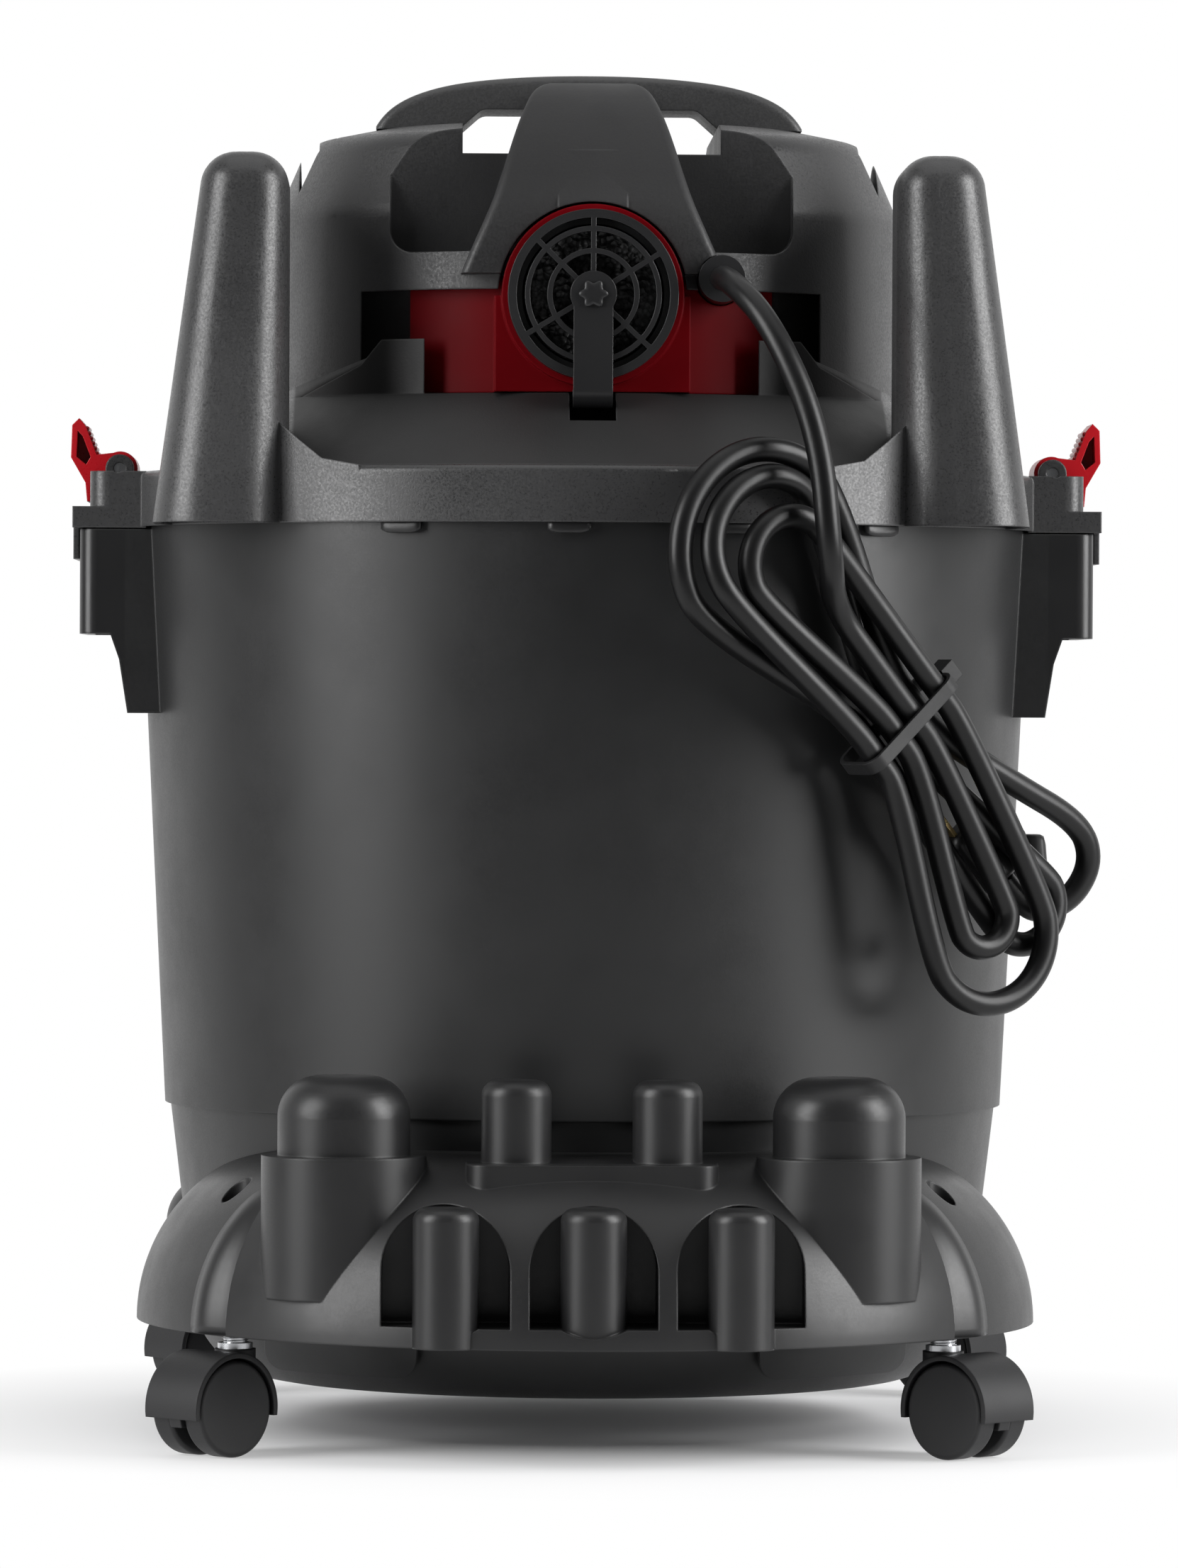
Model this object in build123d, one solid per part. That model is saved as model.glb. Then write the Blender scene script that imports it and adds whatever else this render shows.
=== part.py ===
from build123d import *
import math
import os

# Shop vacuum: an open tank on four twin-wheel casters, with a tool caddy at the back
# and a motor head that lifts off. Millimetres, +Z up, the back of the machine at -Y.
os.makedirs("parts", exist_ok=True)

# Tank
rim_r = 160.0
rim_z = 326.0
tank_wall = 3.0
floor_z = 16.0
ledge_z = 113.5
ledge_in = 10.5
ledge_r = rim_r - ledge_in
ledge_step = 2.0
foot_in = 11.7
foot_r = ledge_r - ledge_step - foot_in
foot_round = 28.0
grip_reach = 19.5
grip_out = rim_r + grip_reach
grip_half = 42.0
grip_drop = 9.0
grip_top = rim_z - grip_drop
grip_tall = 37.0
grip_low = grip_top - grip_tall
grip_leg_tall = 28.0
grip_leg = grip_low - grip_leg_tall
pad_in = 59.0
pad_out = 112.0
pad_t = 2.4
pad_rise = 7.0

# Lid
lid_gap = 0.5
lid_wall = 2.6
skirt_drop = 8.0
deck_rise = 11.5
deck_z = rim_z + deck_rise
apron_in = 10.0
apron_low_r = rim_r - apron_in
apron_run = 35.5
apron_top_r = apron_low_r - apron_run
apron_rise = 26.0
apron_z = deck_z + apron_rise
well_in = 22.5
well_r = apron_top_r - well_in
well_rise = 4.5
well_z = deck_z + well_rise
air_r = 26.0
seal_t = 4.0
ear_reach = 16.0
ear_out = rim_r + ear_reach

# Motor cover and handle
dome_in = 3.5
dome_r = apron_top_r - dome_in
dome_bulge = 0.8
dome_tall = 64.5
dome_shoulder_z = apron_z + dome_tall
crown_rise = 31.5
dome_top = dome_shoulder_z + crown_rise
dome_wall = 2.6
window_half = 80.0
window_tall = 36.1
window_top = apron_z + window_tall
spine_low_half = 42.5
spine_top_half = 22.0
spine_round = 3.0
spine_rise = 14.5
spine_top = dome_top + spine_rise
scoop_half = 70.0
scoop_rise = 49.2
scoop_low = apron_z + scoop_rise
hand_half = 45.0
hand_deep = 11.5
hand_low = dome_top - hand_deep
bar_rise = 19.3
bar_top = dome_top + bar_rise
bar_gap = 7.1
bar_low = dome_top + bar_gap
bar_half = 75.5
bar_back = -32.0
bar_front = 6.0

# Corner posts of the lid
post_gap = 6.0
post_in = dome_r - post_gap
post_wide_low = 46.5
post_out_low = post_in + post_wide_low
post_wide_top = 29.0
post_out_top = post_in + post_wide_top
post_tall = 108.5
post_top = deck_z + post_tall
post_mid_y = -98.0
post_deep_low = 70.0
post_deep_top = 52.0

# Blower housing, exhaust port and cord entry
port_rise = 33.5
port_z = apron_z + port_rise
port_r = 30.5
port_wall = 4.1
port_bore = port_r - port_wall
port_out = 6.0
port_face = -dome_r - port_out
house_in = 4.0
house_r = well_r - house_in
house_tall = 30.0
house_top = well_z + house_tall
house_half = 63.0
tower_half = 33.8
gland_x = 44.5
gland_rise = 39.5
gland_z = apron_z + gland_rise
gland_r = 8.1
gland_out = 7.0
gland_face = -dome_r - gland_out

# Motor
motor_r = 46.0
motor_h = 62.0
shaft_r = 4.0
bearing_r = 11.0
bearing_h = 7.0
fan_in = 18.0
fan_r = house_r - fan_in
fan_h = 12.0

# Filter
cage_r = 40.0
cage_tall = 132.0
cage_low = well_z - 3 - cage_tall
ball_r = 30.0
filter_in = 47.0
filter_out = 70.0
filter_base_t = 6.0
base_gap = 2.0
filter_low = cage_low - base_gap - filter_base_t
pleats = 36

# Caddy
caddy_y = -69.0
caddy_r = 157.0
caddy_low = 41.0
caddy_round = 62.0
caddy_wall = 3.0
big_x = 84.0
big_y = -168.0
big_r = 22.5
big_tall = 27.0
collar_r = 28.0
collar_tall = 62.0
collar_top = caddy_low + collar_tall
big_top = collar_top + big_tall
mid_x = 25.6
mid_y = -173.0
mid_r = 11.9
mid_tall = 26.0
mid_top = collar_top + mid_tall
small_x = 49.4
small_y = -213.0
small_r = 11.1
small_tall = 47.0
small_top = caddy_low + small_tall
arch_half = 21.5
arch_sill = 7.0
arch_low = caddy_low + arch_sill
cell_deep = 35.0
cell_wall = 2.5
screw_x = 121.0
screw_y = -127.0
screw_r = 4.6
screw_deep = 10.0

# Casters
wheel_r = 16.5
wheel_w = 9.0
wheel_gap = 3.2
trail = 11.0
caster_gap = 5.0
caster_top = caddy_low - caster_gap
stem_r = 4.0
rear_x = 120.8
rear_y = -150.0
front_x = 128.0
front_y = 108.0

# Hose inlet and switch
inlet_z = 250.0
inlet_r = 24.0
inlet_wall = 4.0
inlet_out = 40.0
inlet_face = rim_r + inlet_out
switch_drop = 15.0
switch_z = dome_shoulder_z - switch_drop

# Cord and its hank
cord_r = 4.3
hank_r = 175.0
hank_x = 105.0
hank_z = 250.0
hank_turn = 32.0
hank_tilt = 48.0
lay = 9.4
waist_step = 11.5
plug_wide = 20.0
plug_thick = 12.0
plug_long = 26.0
blade_gap = 12.7
blade_long = 15.0

# Running gaps
slip = 0.06
ease = 0.4

axis_y = -(caddy_y - caddy_r + inlet_face) / 2


def write(name, shape):
    export_step(Pos(0, axis_y, 0) * shape, "parts/" + name + ".step")


def cyl(r, z0, z1, x=0.0, y=0.0):
    return Pos(x, y, (z0 + z1) / 2) * Cylinder(r, z1 - z0)


def ycyl(r, y0, y1, x, z):
    return Pos(x, (y0 + y1) / 2, z) * Rot(90, 0, 0) * Cylinder(r, y1 - y0)


def box(x0, x1, y0, y1, z0, z1):
    return Pos((x0 + x1) / 2, (y0 + y1) / 2, (z0 + z1) / 2) * Box(x1 - x0, y1 - y0, z1 - z0)


def spin(points, rounds=()):
    face = make_face(Polyline(*[(r, 0, z) for r, z in points], close=True))
    for (r, z), radius in rounds:
        corner = face.vertices().sort_by_distance((r, 0, z))[0]
        face = face.face().fillet_2d(radius, [corner])
    return revolve(face, axis=Axis.Z)


def prism_xz(points, y0, y1):
    face = make_face(Polyline(*[(x, y0, z) for x, z in points], close=True))
    return extrude(face, amount=y1 - y0, dir=(0, 1, 0))


def prism_yz(points, x0, x1):
    face = make_face(Polyline(*[(x0, y, z) for y, z in points], close=True))
    return extrude(face, amount=x1 - x0, dir=(1, 0, 0))


def mirror_x(shape):
    return mirror(shape, about=Plane.YZ)


# Tank: tapered shell with a step where the caddy seats, two side grips and a flat for the inlet
def tank_r(z):
    if z > ledge_z:
        return ledge_r + (rim_r - ledge_r) * (z - ledge_z) / (rim_z - ledge_z)
    low = ledge_r - ledge_step
    return foot_r + (low - foot_r) * (z - floor_z) / (ledge_z - floor_z)


def tank_body(grow, top):
    low = ledge_r - ledge_step
    pts = [(0, floor_z - grow), (foot_r + grow, floor_z - grow), (low + grow, ledge_z)]
    pts += [(ledge_r + grow, ledge_z), (tank_r(top) + grow, top), (0, top)]
    return spin(pts, [((foot_r + grow, floor_z - grow), foot_round)])


inside_floor = floor_z + tank_wall
inside = spin(
    [(0, inside_floor), (foot_r - tank_wall, inside_floor), (ledge_r - ledge_step - tank_wall, ledge_z),
     (rim_r - tank_wall, rim_z + 1), (0, rim_z + 1)],
    [((foot_r - tank_wall, inside_floor), foot_round - tank_wall)],
)
leg_out = tank_r(grip_leg) + 6
grip = prism_xz(
    [(rim_r - 12, grip_top), (grip_out, grip_top), (grip_out, grip_low), (grip_out - 11, grip_low),
     (leg_out + 3, grip_low - 9), (leg_out, grip_leg), (rim_r - 12, grip_leg)],
    -grip_half, grip_half,
)
grip = fillet(grip.edges().filter_by(Axis.Z).sort_by(Axis.X)[-2:], 6)
hollow_in = rim_r + 4.5
grip_hollow = box(hollow_in, grip_out - 3, -grip_half + 5, grip_half - 5, grip_leg - 5, grip_top - 4)
grip = grip - grip_hollow
inlet_pad = rim_r + 3
pad = ycyl(inlet_r + inlet_wall + 14, rim_r - 20, inlet_pad, 0, inlet_z)
tank = tank_body(0, rim_z) + grip + mirror_x(grip) + pad - inside
tank = tank - ycyl(inlet_r + inlet_wall + ease, rim_r - 40, inlet_pad + 1, 0, inlet_z)
pad_low = floor_z + pad_rise
pad_top = caddy_low - ease
rear_pad = Pos((pad_in + pad_out) / 2, 0, (pad_low + pad_top) / 2) * Rot(90, 0, 0) * extrude(
    RectangleRounded(pad_out - pad_in, pad_top - pad_low, 7), amount=rim_r)
rear_pad = rear_pad & (tank_body(pad_t, rim_z) - tank_body(-tank_wall / 2, rim_z))
tank = tank + rear_pad + mirror_x(rear_pad)
write("tank", tank)

inlet = ycyl(inlet_r + inlet_wall, rim_r - 22, inlet_face, 0, inlet_z)
inlet = inlet + ycyl(inlet_r + inlet_wall + 12, inlet_pad, inlet_pad + 4, 0, inlet_z)
inlet = inlet + ycyl(inlet_r + inlet_wall + 2, inlet_face - 6, inlet_face, 0, inlet_z)
inlet = inlet - ycyl(inlet_r, rim_r - 40, inlet_face + 1, 0, inlet_z)
write("hose_inlet", inlet)

# Lid: skirt over the rim, deck, sloping apron and a well for the blower
skirt_in = rim_r + lid_gap
skirt_out = skirt_in + lid_wall
skirt_low = rim_z - skirt_drop
seal_top = rim_z + seal_t
deck_low = deck_z - 3
seat_r = rim_r - 6
lid = spin(
    [(air_r, well_z - 3), (air_r, well_z), (well_r, well_z), (well_r, apron_z), (apron_top_r, apron_z),
     (apron_low_r, deck_z), (skirt_out, deck_z), (skirt_out, skirt_low), (skirt_in, skirt_low),
     (skirt_in, seal_top), (seat_r, seal_top), (seat_r, deck_low), (apron_low_r - 1, deck_low),
     (apron_top_r - 1, apron_z - 3), (well_r + 3, apron_z - 3), (well_r + 3, well_z - 3)],
    [((skirt_out, deck_z), 2.4)],
)
under = spin(
    [(0, skirt_low - 20), (skirt_in, skirt_low - 20), (skirt_in, seal_top), (seat_r, seal_top),
     (seat_r, deck_low), (apron_low_r - 1, deck_low), (apron_top_r - 1, apron_z - 3), (0, apron_z - 3)]
)


def corner_post(shrink, top):
    low_w = post_out_low - post_in - 2 * shrink
    top_w = post_out_top - post_in - 2 * shrink
    low_x = (post_out_low + post_in) / 2
    top_x = (post_out_top + post_in) / 2
    low_deep = post_deep_low - 2 * shrink
    low = Pos(low_x, post_mid_y, skirt_low) * RectangleRounded(low_w, low_deep, low_w * 0.44)
    high = Pos(top_x, post_mid_y, top) * RectangleRounded(top_w, post_deep_top - 2 * shrink, top_w * 0.44)
    solid = loft([low, high], ruled=True)
    return fillet(solid.faces().sort_by(Axis.Z)[-1].edges(), top_w * 0.42)


post = corner_post(0, post_top) - corner_post(2.6, post_top - 2.6) - under
lid = lid + post + mirror_x(post)

ear_low = grip_top + 0.5
ear = box(rim_r - 4, ear_out, -grip_half, grip_half, ear_low, deck_z)
ear = fillet(ear.edges().filter_by(Axis.Z).sort_by(Axis.X)[-2:], 7)
ear = ear + box(rim_r - 4, grip_out + 2.5, -grip_half, grip_half, ear_low, ear_low + 7.5)
ear = ear + box(grip_out + 0.5, grip_out + 2.5, -grip_half + 10, grip_half - 10, ear_low - 11, ear_low + 1)
pin_x = ear_out - 9.8
pin_z = deck_z + 1.5
latch_half = 13.0
notch = box(pin_x - 7.2, ear_out + 1, -latch_half - 0.6, latch_half + 0.6, pin_z - 7.6, deck_z + 1)
for side in (-1, 1):
    y0 = side * (latch_half + 3.6)
    knuckle = ycyl(5.0, y0 - 3, y0 + 3, pin_x, pin_z)
    knuckle = knuckle + box(pin_x - 5, pin_x + 5, y0 - 3, y0 + 3, deck_z - 6, pin_z)
    ear = ear + knuckle
ear = ear - ycyl(2.0 + slip, -grip_half, grip_half, pin_x, pin_z)
ear = ear - under - cyl(skirt_in, skirt_low - 30, seal_top)
lid = lid + ear + mirror_x(ear) - notch - mirror_x(notch)

gusset_pts = [(post_in - 25, deck_z - 2), (post_in + 4, deck_z - 2), (post_in + 4, deck_z + 16),
              (post_in - 4, deck_z + 9), (post_in - 12, deck_z + 2.5), (post_in - 25, deck_z)]
gusset_ring = cyl(skirt_out, skirt_low, apron_z) - cyl(skirt_out - lid_wall, skirt_low - 1, apron_z + 1)
gusset = prism_xz(gusset_pts, -skirt_out - 5, -20) & gusset_ring
lid = lid + gusset + mirror_x(gusset)
horn_pts = [(58, apron_z - 3), (58, apron_z + 19), (73, apron_z + 19), (window_half, apron_z + 10.5),
            (post_in, apron_z - 2), (post_in, apron_z - 3)]
horn_ring = cyl(apron_top_r - 0.2, apron_z - 3, apron_z + 25)
horn_ring = horn_ring - cyl(dome_r + dome_bulge + 0.5, apron_z - 4, apron_z + 26)
horn = prism_xz(horn_pts, -apron_top_r - 5, -20) & horn_ring
lid = lid + horn + mirror_x(horn)
strap_half = 6.8
slot_half = strap_half + 1.2
lid = lid - box(-slot_half, slot_half, -apron_top_r - 16, -apron_top_r + 8, apron_z - 10, apron_z + 1)
write("lid", lid)

seal = cyl(rim_r - 0.6, rim_z, seal_top) - cyl(seat_r + 0.6, rim_z - 1, seal_top + 1)
write("lid_seal", seal)

pin_len = latch_half + 6.0
pin = ycyl(2.0, -pin_len, pin_len, pin_x, pin_z)
write("latch_pins", Compound([pin, mirror_x(pin)]))

latch_pts = [(0, 6), (8.4, 5), (12.5, 15.5), (14.7, 18), (17.2, 15.5), (17.6, 4), (12.4, -5), (11.8, -11.7),
             (10.5, -11.7), (10.5, -2.5), (4, -4)]
latch = prism_xz([(pin_x + a, pin_z + b) for a, b in latch_pts], -latch_half, latch_half)
latch = latch + ycyl(6.2, -latch_half, latch_half, pin_x, pin_z)
relief = [(12.2, 1.5), (15.6, 4.2), (15.2, 13.5), (13.4, 11.5), (10.6, 4.2)]
for side in (-1, 1):
    edge = side * latch_half
    latch = latch - prism_xz([(pin_x + a, pin_z + b) for a, b in relief], edge - 10, edge + 10)
latch = latch - ycyl(2.0 + slip, -20, 20, pin_x, pin_z)
write("latch_right", latch)
write("latch_left", mirror_x(latch))


# Motor cover: crowned shell with a spine, two scoops, a hand gap and a back window
def crown(shrink):
    top = dome_top - shrink
    bulge = dome_r + dome_bulge - shrink
    brow = dome_r - 11 - shrink
    return spin(
        [(0, apron_z), (dome_r - shrink, apron_z), (bulge, dome_shoulder_z), (brow, top - 4.5),
         (dome_r - 33, top), (0, top)],
        [((bulge, dome_shoulder_z), 12), ((brow, top - 4.5), 12)],
    )


def scoops(grow):
    low = scoop_low - grow
    cut = box(12, scoop_half + grow, -dome_r - 20, -80 + grow, low, dome_top + 30)
    cut = fillet(cut.edges().filter_by(Axis.Y).sort_by(Axis.Z)[:2].sort_by(Axis.X)[-1], 8)
    wide = hand_half + grow
    hand = box(-wide, wide, -dome_r - 20, dome_r + 20, hand_low - grow, dome_top + 30)
    return cut + mirror_x(cut) + hand


dome = (crown(0) - scoops(0)) - (crown(dome_wall) - scoops(dome_wall))
back = -dome_r
side_pts = [(-spine_low_half - 3, scoop_low - 8), (-spine_low_half + 2, scoop_low + 4),
            (-spine_low_half + 8, scoop_low + 18), (-spine_top_half - 5, spine_top - 20),
            (-spine_top_half - 1, spine_top - 9), (-spine_top_half + 2.4, spine_top - 3),
            (-spine_top_half + 9, spine_top)]
corner = side_pts[-1]
left = Spline(*[(x, 0, z) for x, z in side_pts])
right = Spline(*[(-x, 0, z) for x, z in side_pts])
foot_line = Line((side_pts[0][0], 0, side_pts[0][1]), (-side_pts[0][0], 0, side_pts[0][1]))
top_line = Line((corner[0], 0, corner[1]), (-corner[0], 0, corner[1]))
spine_face = make_face([left, top_line, right, foot_line])
spine_block = Pos(0, back - 20, 0) * extrude(spine_face, amount=dome_r + 20 + bar_back, dir=(0, 1, 0))
rear_pts = [(back - 3, scoop_low - 8), (back - 0.5, scoop_low + 10), (back + 4, scoop_low + 26),
            (back + 13, scoop_low + 42), (back + 27, spine_top - 8), (back + 50, spine_top)]
rear_line = Spline(*[(0, y, z) for y, z in rear_pts])
inner_line = Polyline(
    (0, back + 50, spine_top), (0, bar_back - ease, spine_top), (0, bar_back - ease, dome_top),
    (0, back + 46, dome_top - 3),
    (0, back + 30, scoop_low + 20), (0, back + 10, scoop_low - 8), (0, back - 3, scoop_low - 8))
spine_cut = Pos(-60, 0, 0) * extrude(make_face([rear_line, inner_line]), amount=120, dir=(1, 0, 0))
spine = spine_block & spine_cut
long_edges = [e for e in spine.edges() if e.length > 60 and abs(e.center().X) > 15]
long_edges = [e for e in long_edges if e.center().Z > scoop_low + 10]
spine = fillet(sorted(long_edges, key=lambda e: e.center().Y)[:2], spine_round)
dome = dome + spine
window_low = post_in + 4
sill_z = apron_z + 10.5
window_pts = [(-window_low, apron_z - 3), (-window_low, apron_z), (-window_half, sill_z),
              (-window_half, window_top), (window_half, window_top), (window_half, sill_z),
              (window_low, apron_z), (window_low, apron_z - 3)]
dome = dome - prism_xz(window_pts, back - 10, back + 75)
dome = dome - ycyl(port_r + 2.2, back - 20, back + 60, 0, port_z)
dome = dome - ycyl(gland_r + ease, back - 20, back + 40, gland_x, gland_z)
for side in (-1, 1):
    for k in range(2):
        vent_x = side * (86 + 13 * k)
        dome = dome - box(vent_x - 3.5, vent_x + 3.5, -34, 30, dome_top - 16 - 8 * k, dome_top + 5)
switch_y = dome_r + 2
dome = dome + (box(-20, 20, dome_r - 12, switch_y, switch_z - 18, switch_z + 18) - crown(dome_wall))
dome = dome - box(-14, 14, dome_r - 30, switch_y + 1, switch_z - 11, switch_z + 11)
write("motor_cover", dome)

rise = [(-bar_half, dome_top + 1), (-bar_half + 5, dome_top + 7), (-bar_half + 17, bar_top - 6),
        (-bar_half + 38, bar_top - 1.8), (0, bar_top)]
rise += [(-x, z) for x, z in reversed(rise[:-1])]
crest = Spline(*[(x, 0, z) for x, z in rise])
hole = Polyline(
    (bar_half, 0, dome_top + 1), (bar_half, 0, dome_top), (hand_half + 1, 0, dome_top),
    (hand_half - 7, 0, bar_low), (-hand_half + 7, 0, bar_low), (-hand_half - 1, 0, dome_top),
    (-bar_half, 0, dome_top), (-bar_half, 0, dome_top + 1))
handle = Pos(0, bar_back, 0) * extrude(make_face([crest, hole]), amount=bar_front - bar_back, dir=(0, 1, 0))
grasp = handle.edges().filter_by(Axis.Y).filter_by(lambda e: abs(e.center().Z - bar_low) < 0.1)
handle = fillet(grasp, 5)
long_top = [e for e in handle.edges() if e.length > bar_half and e.center().Z > bar_low + 2]
handle = fillet(long_top, 3)
write("handle", handle)

switch = box(-17, 17, switch_y, switch_y + 2, switch_z - 14, switch_z + 14)
body_x = 14 - ease
body_z = 11 - ease
switch = switch + box(-body_x, body_x, switch_y - 20, switch_y, switch_z - body_z, switch_z + body_z)
switch = switch - box(-10.4, 10.4, switch_y - 10, switch_y + 3, switch_z - 8.6, switch_z + 8.6)
pivot_r = 1.5
pivot_y = switch_y - 3
pivot = Pos(0, pivot_y, switch_z) * Rot(0, 90, 0) * Cylinder(pivot_r, 22.4)
switch = switch - Pos(0, pivot_y, switch_z) * Rot(0, 90, 0) * Cylinder(pivot_r + slip, 23)
write("switch_body", switch)
rock_y = pivot_y
rocker = prism_yz(
    [(rock_y - 3, switch_z - 6), (rock_y - 3, switch_z + 6), (rock_y + 6.5, switch_z + 6.6),
     (rock_y + 5, switch_z), (rock_y + 6.5, switch_z - 6.6)], -9.9, 9.9)
rocker = rocker + pivot
write("switch_rocker", rocker)

# Blower housing with its exhaust tower, motor and fan
house = cyl(well_r - 0.5, well_z, well_z + 3) + cyl(house_r, well_z, house_top)
block = box(-house_half, house_half, back + 5, back + 60, apron_z + ease, scoop_low - 8 - ease)
block = block & cyl(dome_r - 5, apron_z, dome_top)
house = house + block
house = house + box(-tower_half, tower_half, back - 1.5, back + 50, apron_z + ease, port_z)
house = house + ycyl(port_r + 1, port_face, back + 50, 0, port_z)
chamber = house_r - 4
house = house - cyl(chamber, well_z + 3, house_top - 3) - cyl(air_r + 4, well_z - 1, well_z + 5)
house = house - cyl(motor_r + 4, house_top, dome_top)
house = house - ycyl(port_bore, port_face - 1, back + 48, 0, port_z)
house = house - box(-16, 16, back + 26, back + 46, house_top - 10, port_z)
house = house - cyl(bearing_r + 1, house_top - 5, house_top + 1)
gland_seat = gland_face + 28
house = house - ycyl(gland_r + ease, back - 20, gland_seat, gland_x, gland_z)
write("blower_housing", house)

gland = ycyl(gland_r, gland_face, gland_seat, gland_x, gland_z)
write("cord_gland", gland)

motor_top = house_top + motor_h
can = spin(
    [(bearing_r, house_top), (motor_r, house_top), (motor_r, motor_top), (bearing_r, motor_top),
     (bearing_r, motor_top - bearing_h), (bearing_r + 4, motor_top - bearing_h),
     (bearing_r + 4, motor_top - 3), (motor_r - 3, motor_top - 3), (motor_r - 3, house_top + 3),
     (bearing_r + 4, house_top + 3),
     (bearing_r + 4, house_top + bearing_h), (bearing_r, house_top + bearing_h)]
)
write("motor_can", can)
ring = cyl(bearing_r - slip, house_top, house_top + bearing_h)
ring = ring - cyl(shaft_r + slip, house_top - 1, motor_top)
write("motor_bearings", Compound([ring, Pos(0, 0, motor_h - bearing_h) * ring]))
fan_low = well_z + 7
shaft = cyl(shaft_r, fan_low - 3, motor_top + 2)
write("motor_shaft", shaft)
armature = cyl(motor_r - 17, house_top + 13, motor_top - 13) - cyl(shaft_r + 0.02, house_top, motor_top)
write("motor_armature", armature)
fan_top = fan_low + fan_h
fan = cyl(fan_r, fan_low, fan_low + 1.5) - cyl(air_r, fan_low - 1, fan_low + 2)
fan = fan + cyl(fan_r, fan_top - 1.5, fan_top)
for k in range(8):
    blade = Pos(fan_r * 0.68, 0, 0) * Rot(0, 0, 35) * box(-19, 19, -0.9, 0.9, fan_low, fan_top)
    fan = fan + Rot(0, 0, 45 * k) * blade
fan = fan + cyl(shaft_r + 5, fan_low + 2, fan_top)
fan = fan & cyl(fan_r, fan_low, fan_top)
fan = fan - cyl(shaft_r + 0.02, fan_low - 2, fan_top + 2)
write("fan", fan)

# Exhaust diffuser with its foam disc and tether
cap_r = port_r - 1.1
cap_back = port_face - ease
cap_face = cap_back - 7
cap = ycyl(cap_r, cap_face, cap_back, 0, port_z) - ycyl(cap_r - 3, cap_face - 1, cap_back + 1, 0, port_z)
spigot_bore = ycyl(port_bore - 2, cap_back - 3, cap_back + 15, 0, port_z)
spigot = ycyl(port_bore - ease, cap_back, cap_back + 14, 0, port_z)
spigot = spigot + ycyl(cap_r, cap_back - 2, cap_back, 0, port_z) - spigot_bore
cap = cap + spigot
for ring_r in (cap_r * 0.77, cap_r * 0.51):
    hoop = ycyl(ring_r + 0.9, cap_face, cap_face + 4, 0, port_z)
    cap = cap + (hoop - ycyl(ring_r - 0.9, cap_face - 1, cap_face + 5, 0, port_z))
hub_r = 7.2
cap = cap + ycyl(hub_r, cap_face, cap_face + 4, 0, port_z)
for angle in (90, 32, -43, -90, 211, 136):
    spoke = box(hub_r - 1, cap_r - 1, cap_face, cap_face + 4, -0.9, 0.9)
    cap = cap + Pos(0, 0, port_z) * Rot(0, -angle, 0) * spoke
cap = cap + ycyl(2.6, cap_face - 3, cap_face + 1, 0, port_z)
write("port_diffuser", cap)
foam = ycyl(port_bore - 2 - ease, cap_face + 4 + 0.2, cap_back + 12, 0, port_z)
write("port_foam", foam)
strap_face = cap_face - 2.2
turn_z = apron_z + 1
strap_mid = (strap_face + back - 1.5) / 2 - 0.6
strap_out = strap_mid - strap_face
strap = box(-strap_half, strap_half, strap_face, strap_face + 1.8, turn_z, port_z)
strap = strap + ycyl(strap_half + 1.2, strap_face, strap_face + 1.8, 0, port_z)
bend = Cylinder(strap_out, 2 * strap_half) - Cylinder(strap_out - 1.8, 2 * strap_half)
bend = Pos(0, strap_mid, turn_z) * Rot(0, 90, 0) * bend
strap = strap + (bend & box(-20, 20, strap_mid - 20, strap_mid + 20, turn_z - 20, turn_z))
strap = strap - ycyl(2.6 + ease, strap_face - 1, strap_face + 3, 0, port_z)
write("port_tether", strap)

# Filter cage, float ball and filter cartridge under the lid
cage_top = well_z - 3
cage = cyl(cage_r + 3, cage_top - 3, cage_top) - cyl(ball_r + 4, cage_top - 4, cage_top + 1)
cage = cage + cyl(cage_r + 2, cage_low, cage_low + 3)
for k in range(8):
    bar = box(ball_r + 4.5, cage_r + 1, -3, 3, cage_low + 2, cage_top - 2)
    cage = cage + Rot(0, 0, 45 * k + 22.5) * bar
write("filter_cage", cage)
ball = Pos(0, 0, cage_low + 3 + ball_r) * Sphere(ball_r)
write("float_ball", ball)
filter_top = cage_top
media_pts = []
for k in range(pleats):
    for part in range(2):
        angle = 2 * math.pi * (k + 0.5 * part) / pleats
        reach = filter_out - 3 if part == 0 else filter_out - 11
        media_pts.append((reach * math.cos(angle), reach * math.sin(angle)))
media_low = filter_low + filter_base_t
media_line = Polyline(*[(x, y, media_low) for x, y in media_pts], close=True)
media = extrude(make_face(media_line), amount=filter_top - 8 - media_low, dir=(0, 0, 1))
media = media - cyl(filter_in + 2, filter_low, filter_top)
write("filter_media", media)
filter_head = cyl(filter_out, filter_top - 8, filter_top) - cyl(filter_in, filter_top - 9, filter_top + 1)
write("filter_head", filter_head)
write("filter_base", cyl(filter_out, filter_low, media_low))


# Caddy: domed shell round the back of the tank, carrying the tool posts
def caddy_dome(shrink):
    r = caddy_r - shrink
    low = caddy_low - 1 if shrink else caddy_low
    arc_r = caddy_round - shrink
    mid = 0.7071 * arc_r
    inner = caddy_r - caddy_round
    edge = [
        Line((0, 0, low), (r, 0, low)),
        Line((r, 0, low), (r, 0, caddy_low)) if shrink else None,
        ThreePointArc((r, 0, caddy_low), (inner + mid, 0, caddy_low + mid), (inner, 0, caddy_low + arc_r)),
        Line((inner, 0, caddy_low + arc_r), (0, 0, caddy_low + arc_r)),
        Line((0, 0, caddy_low + arc_r), (0, 0, low)),
    ]
    face = make_face([e for e in edge if e])
    return Pos(0, caddy_y, 0) * revolve(face, axis=Axis.Z)


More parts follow.
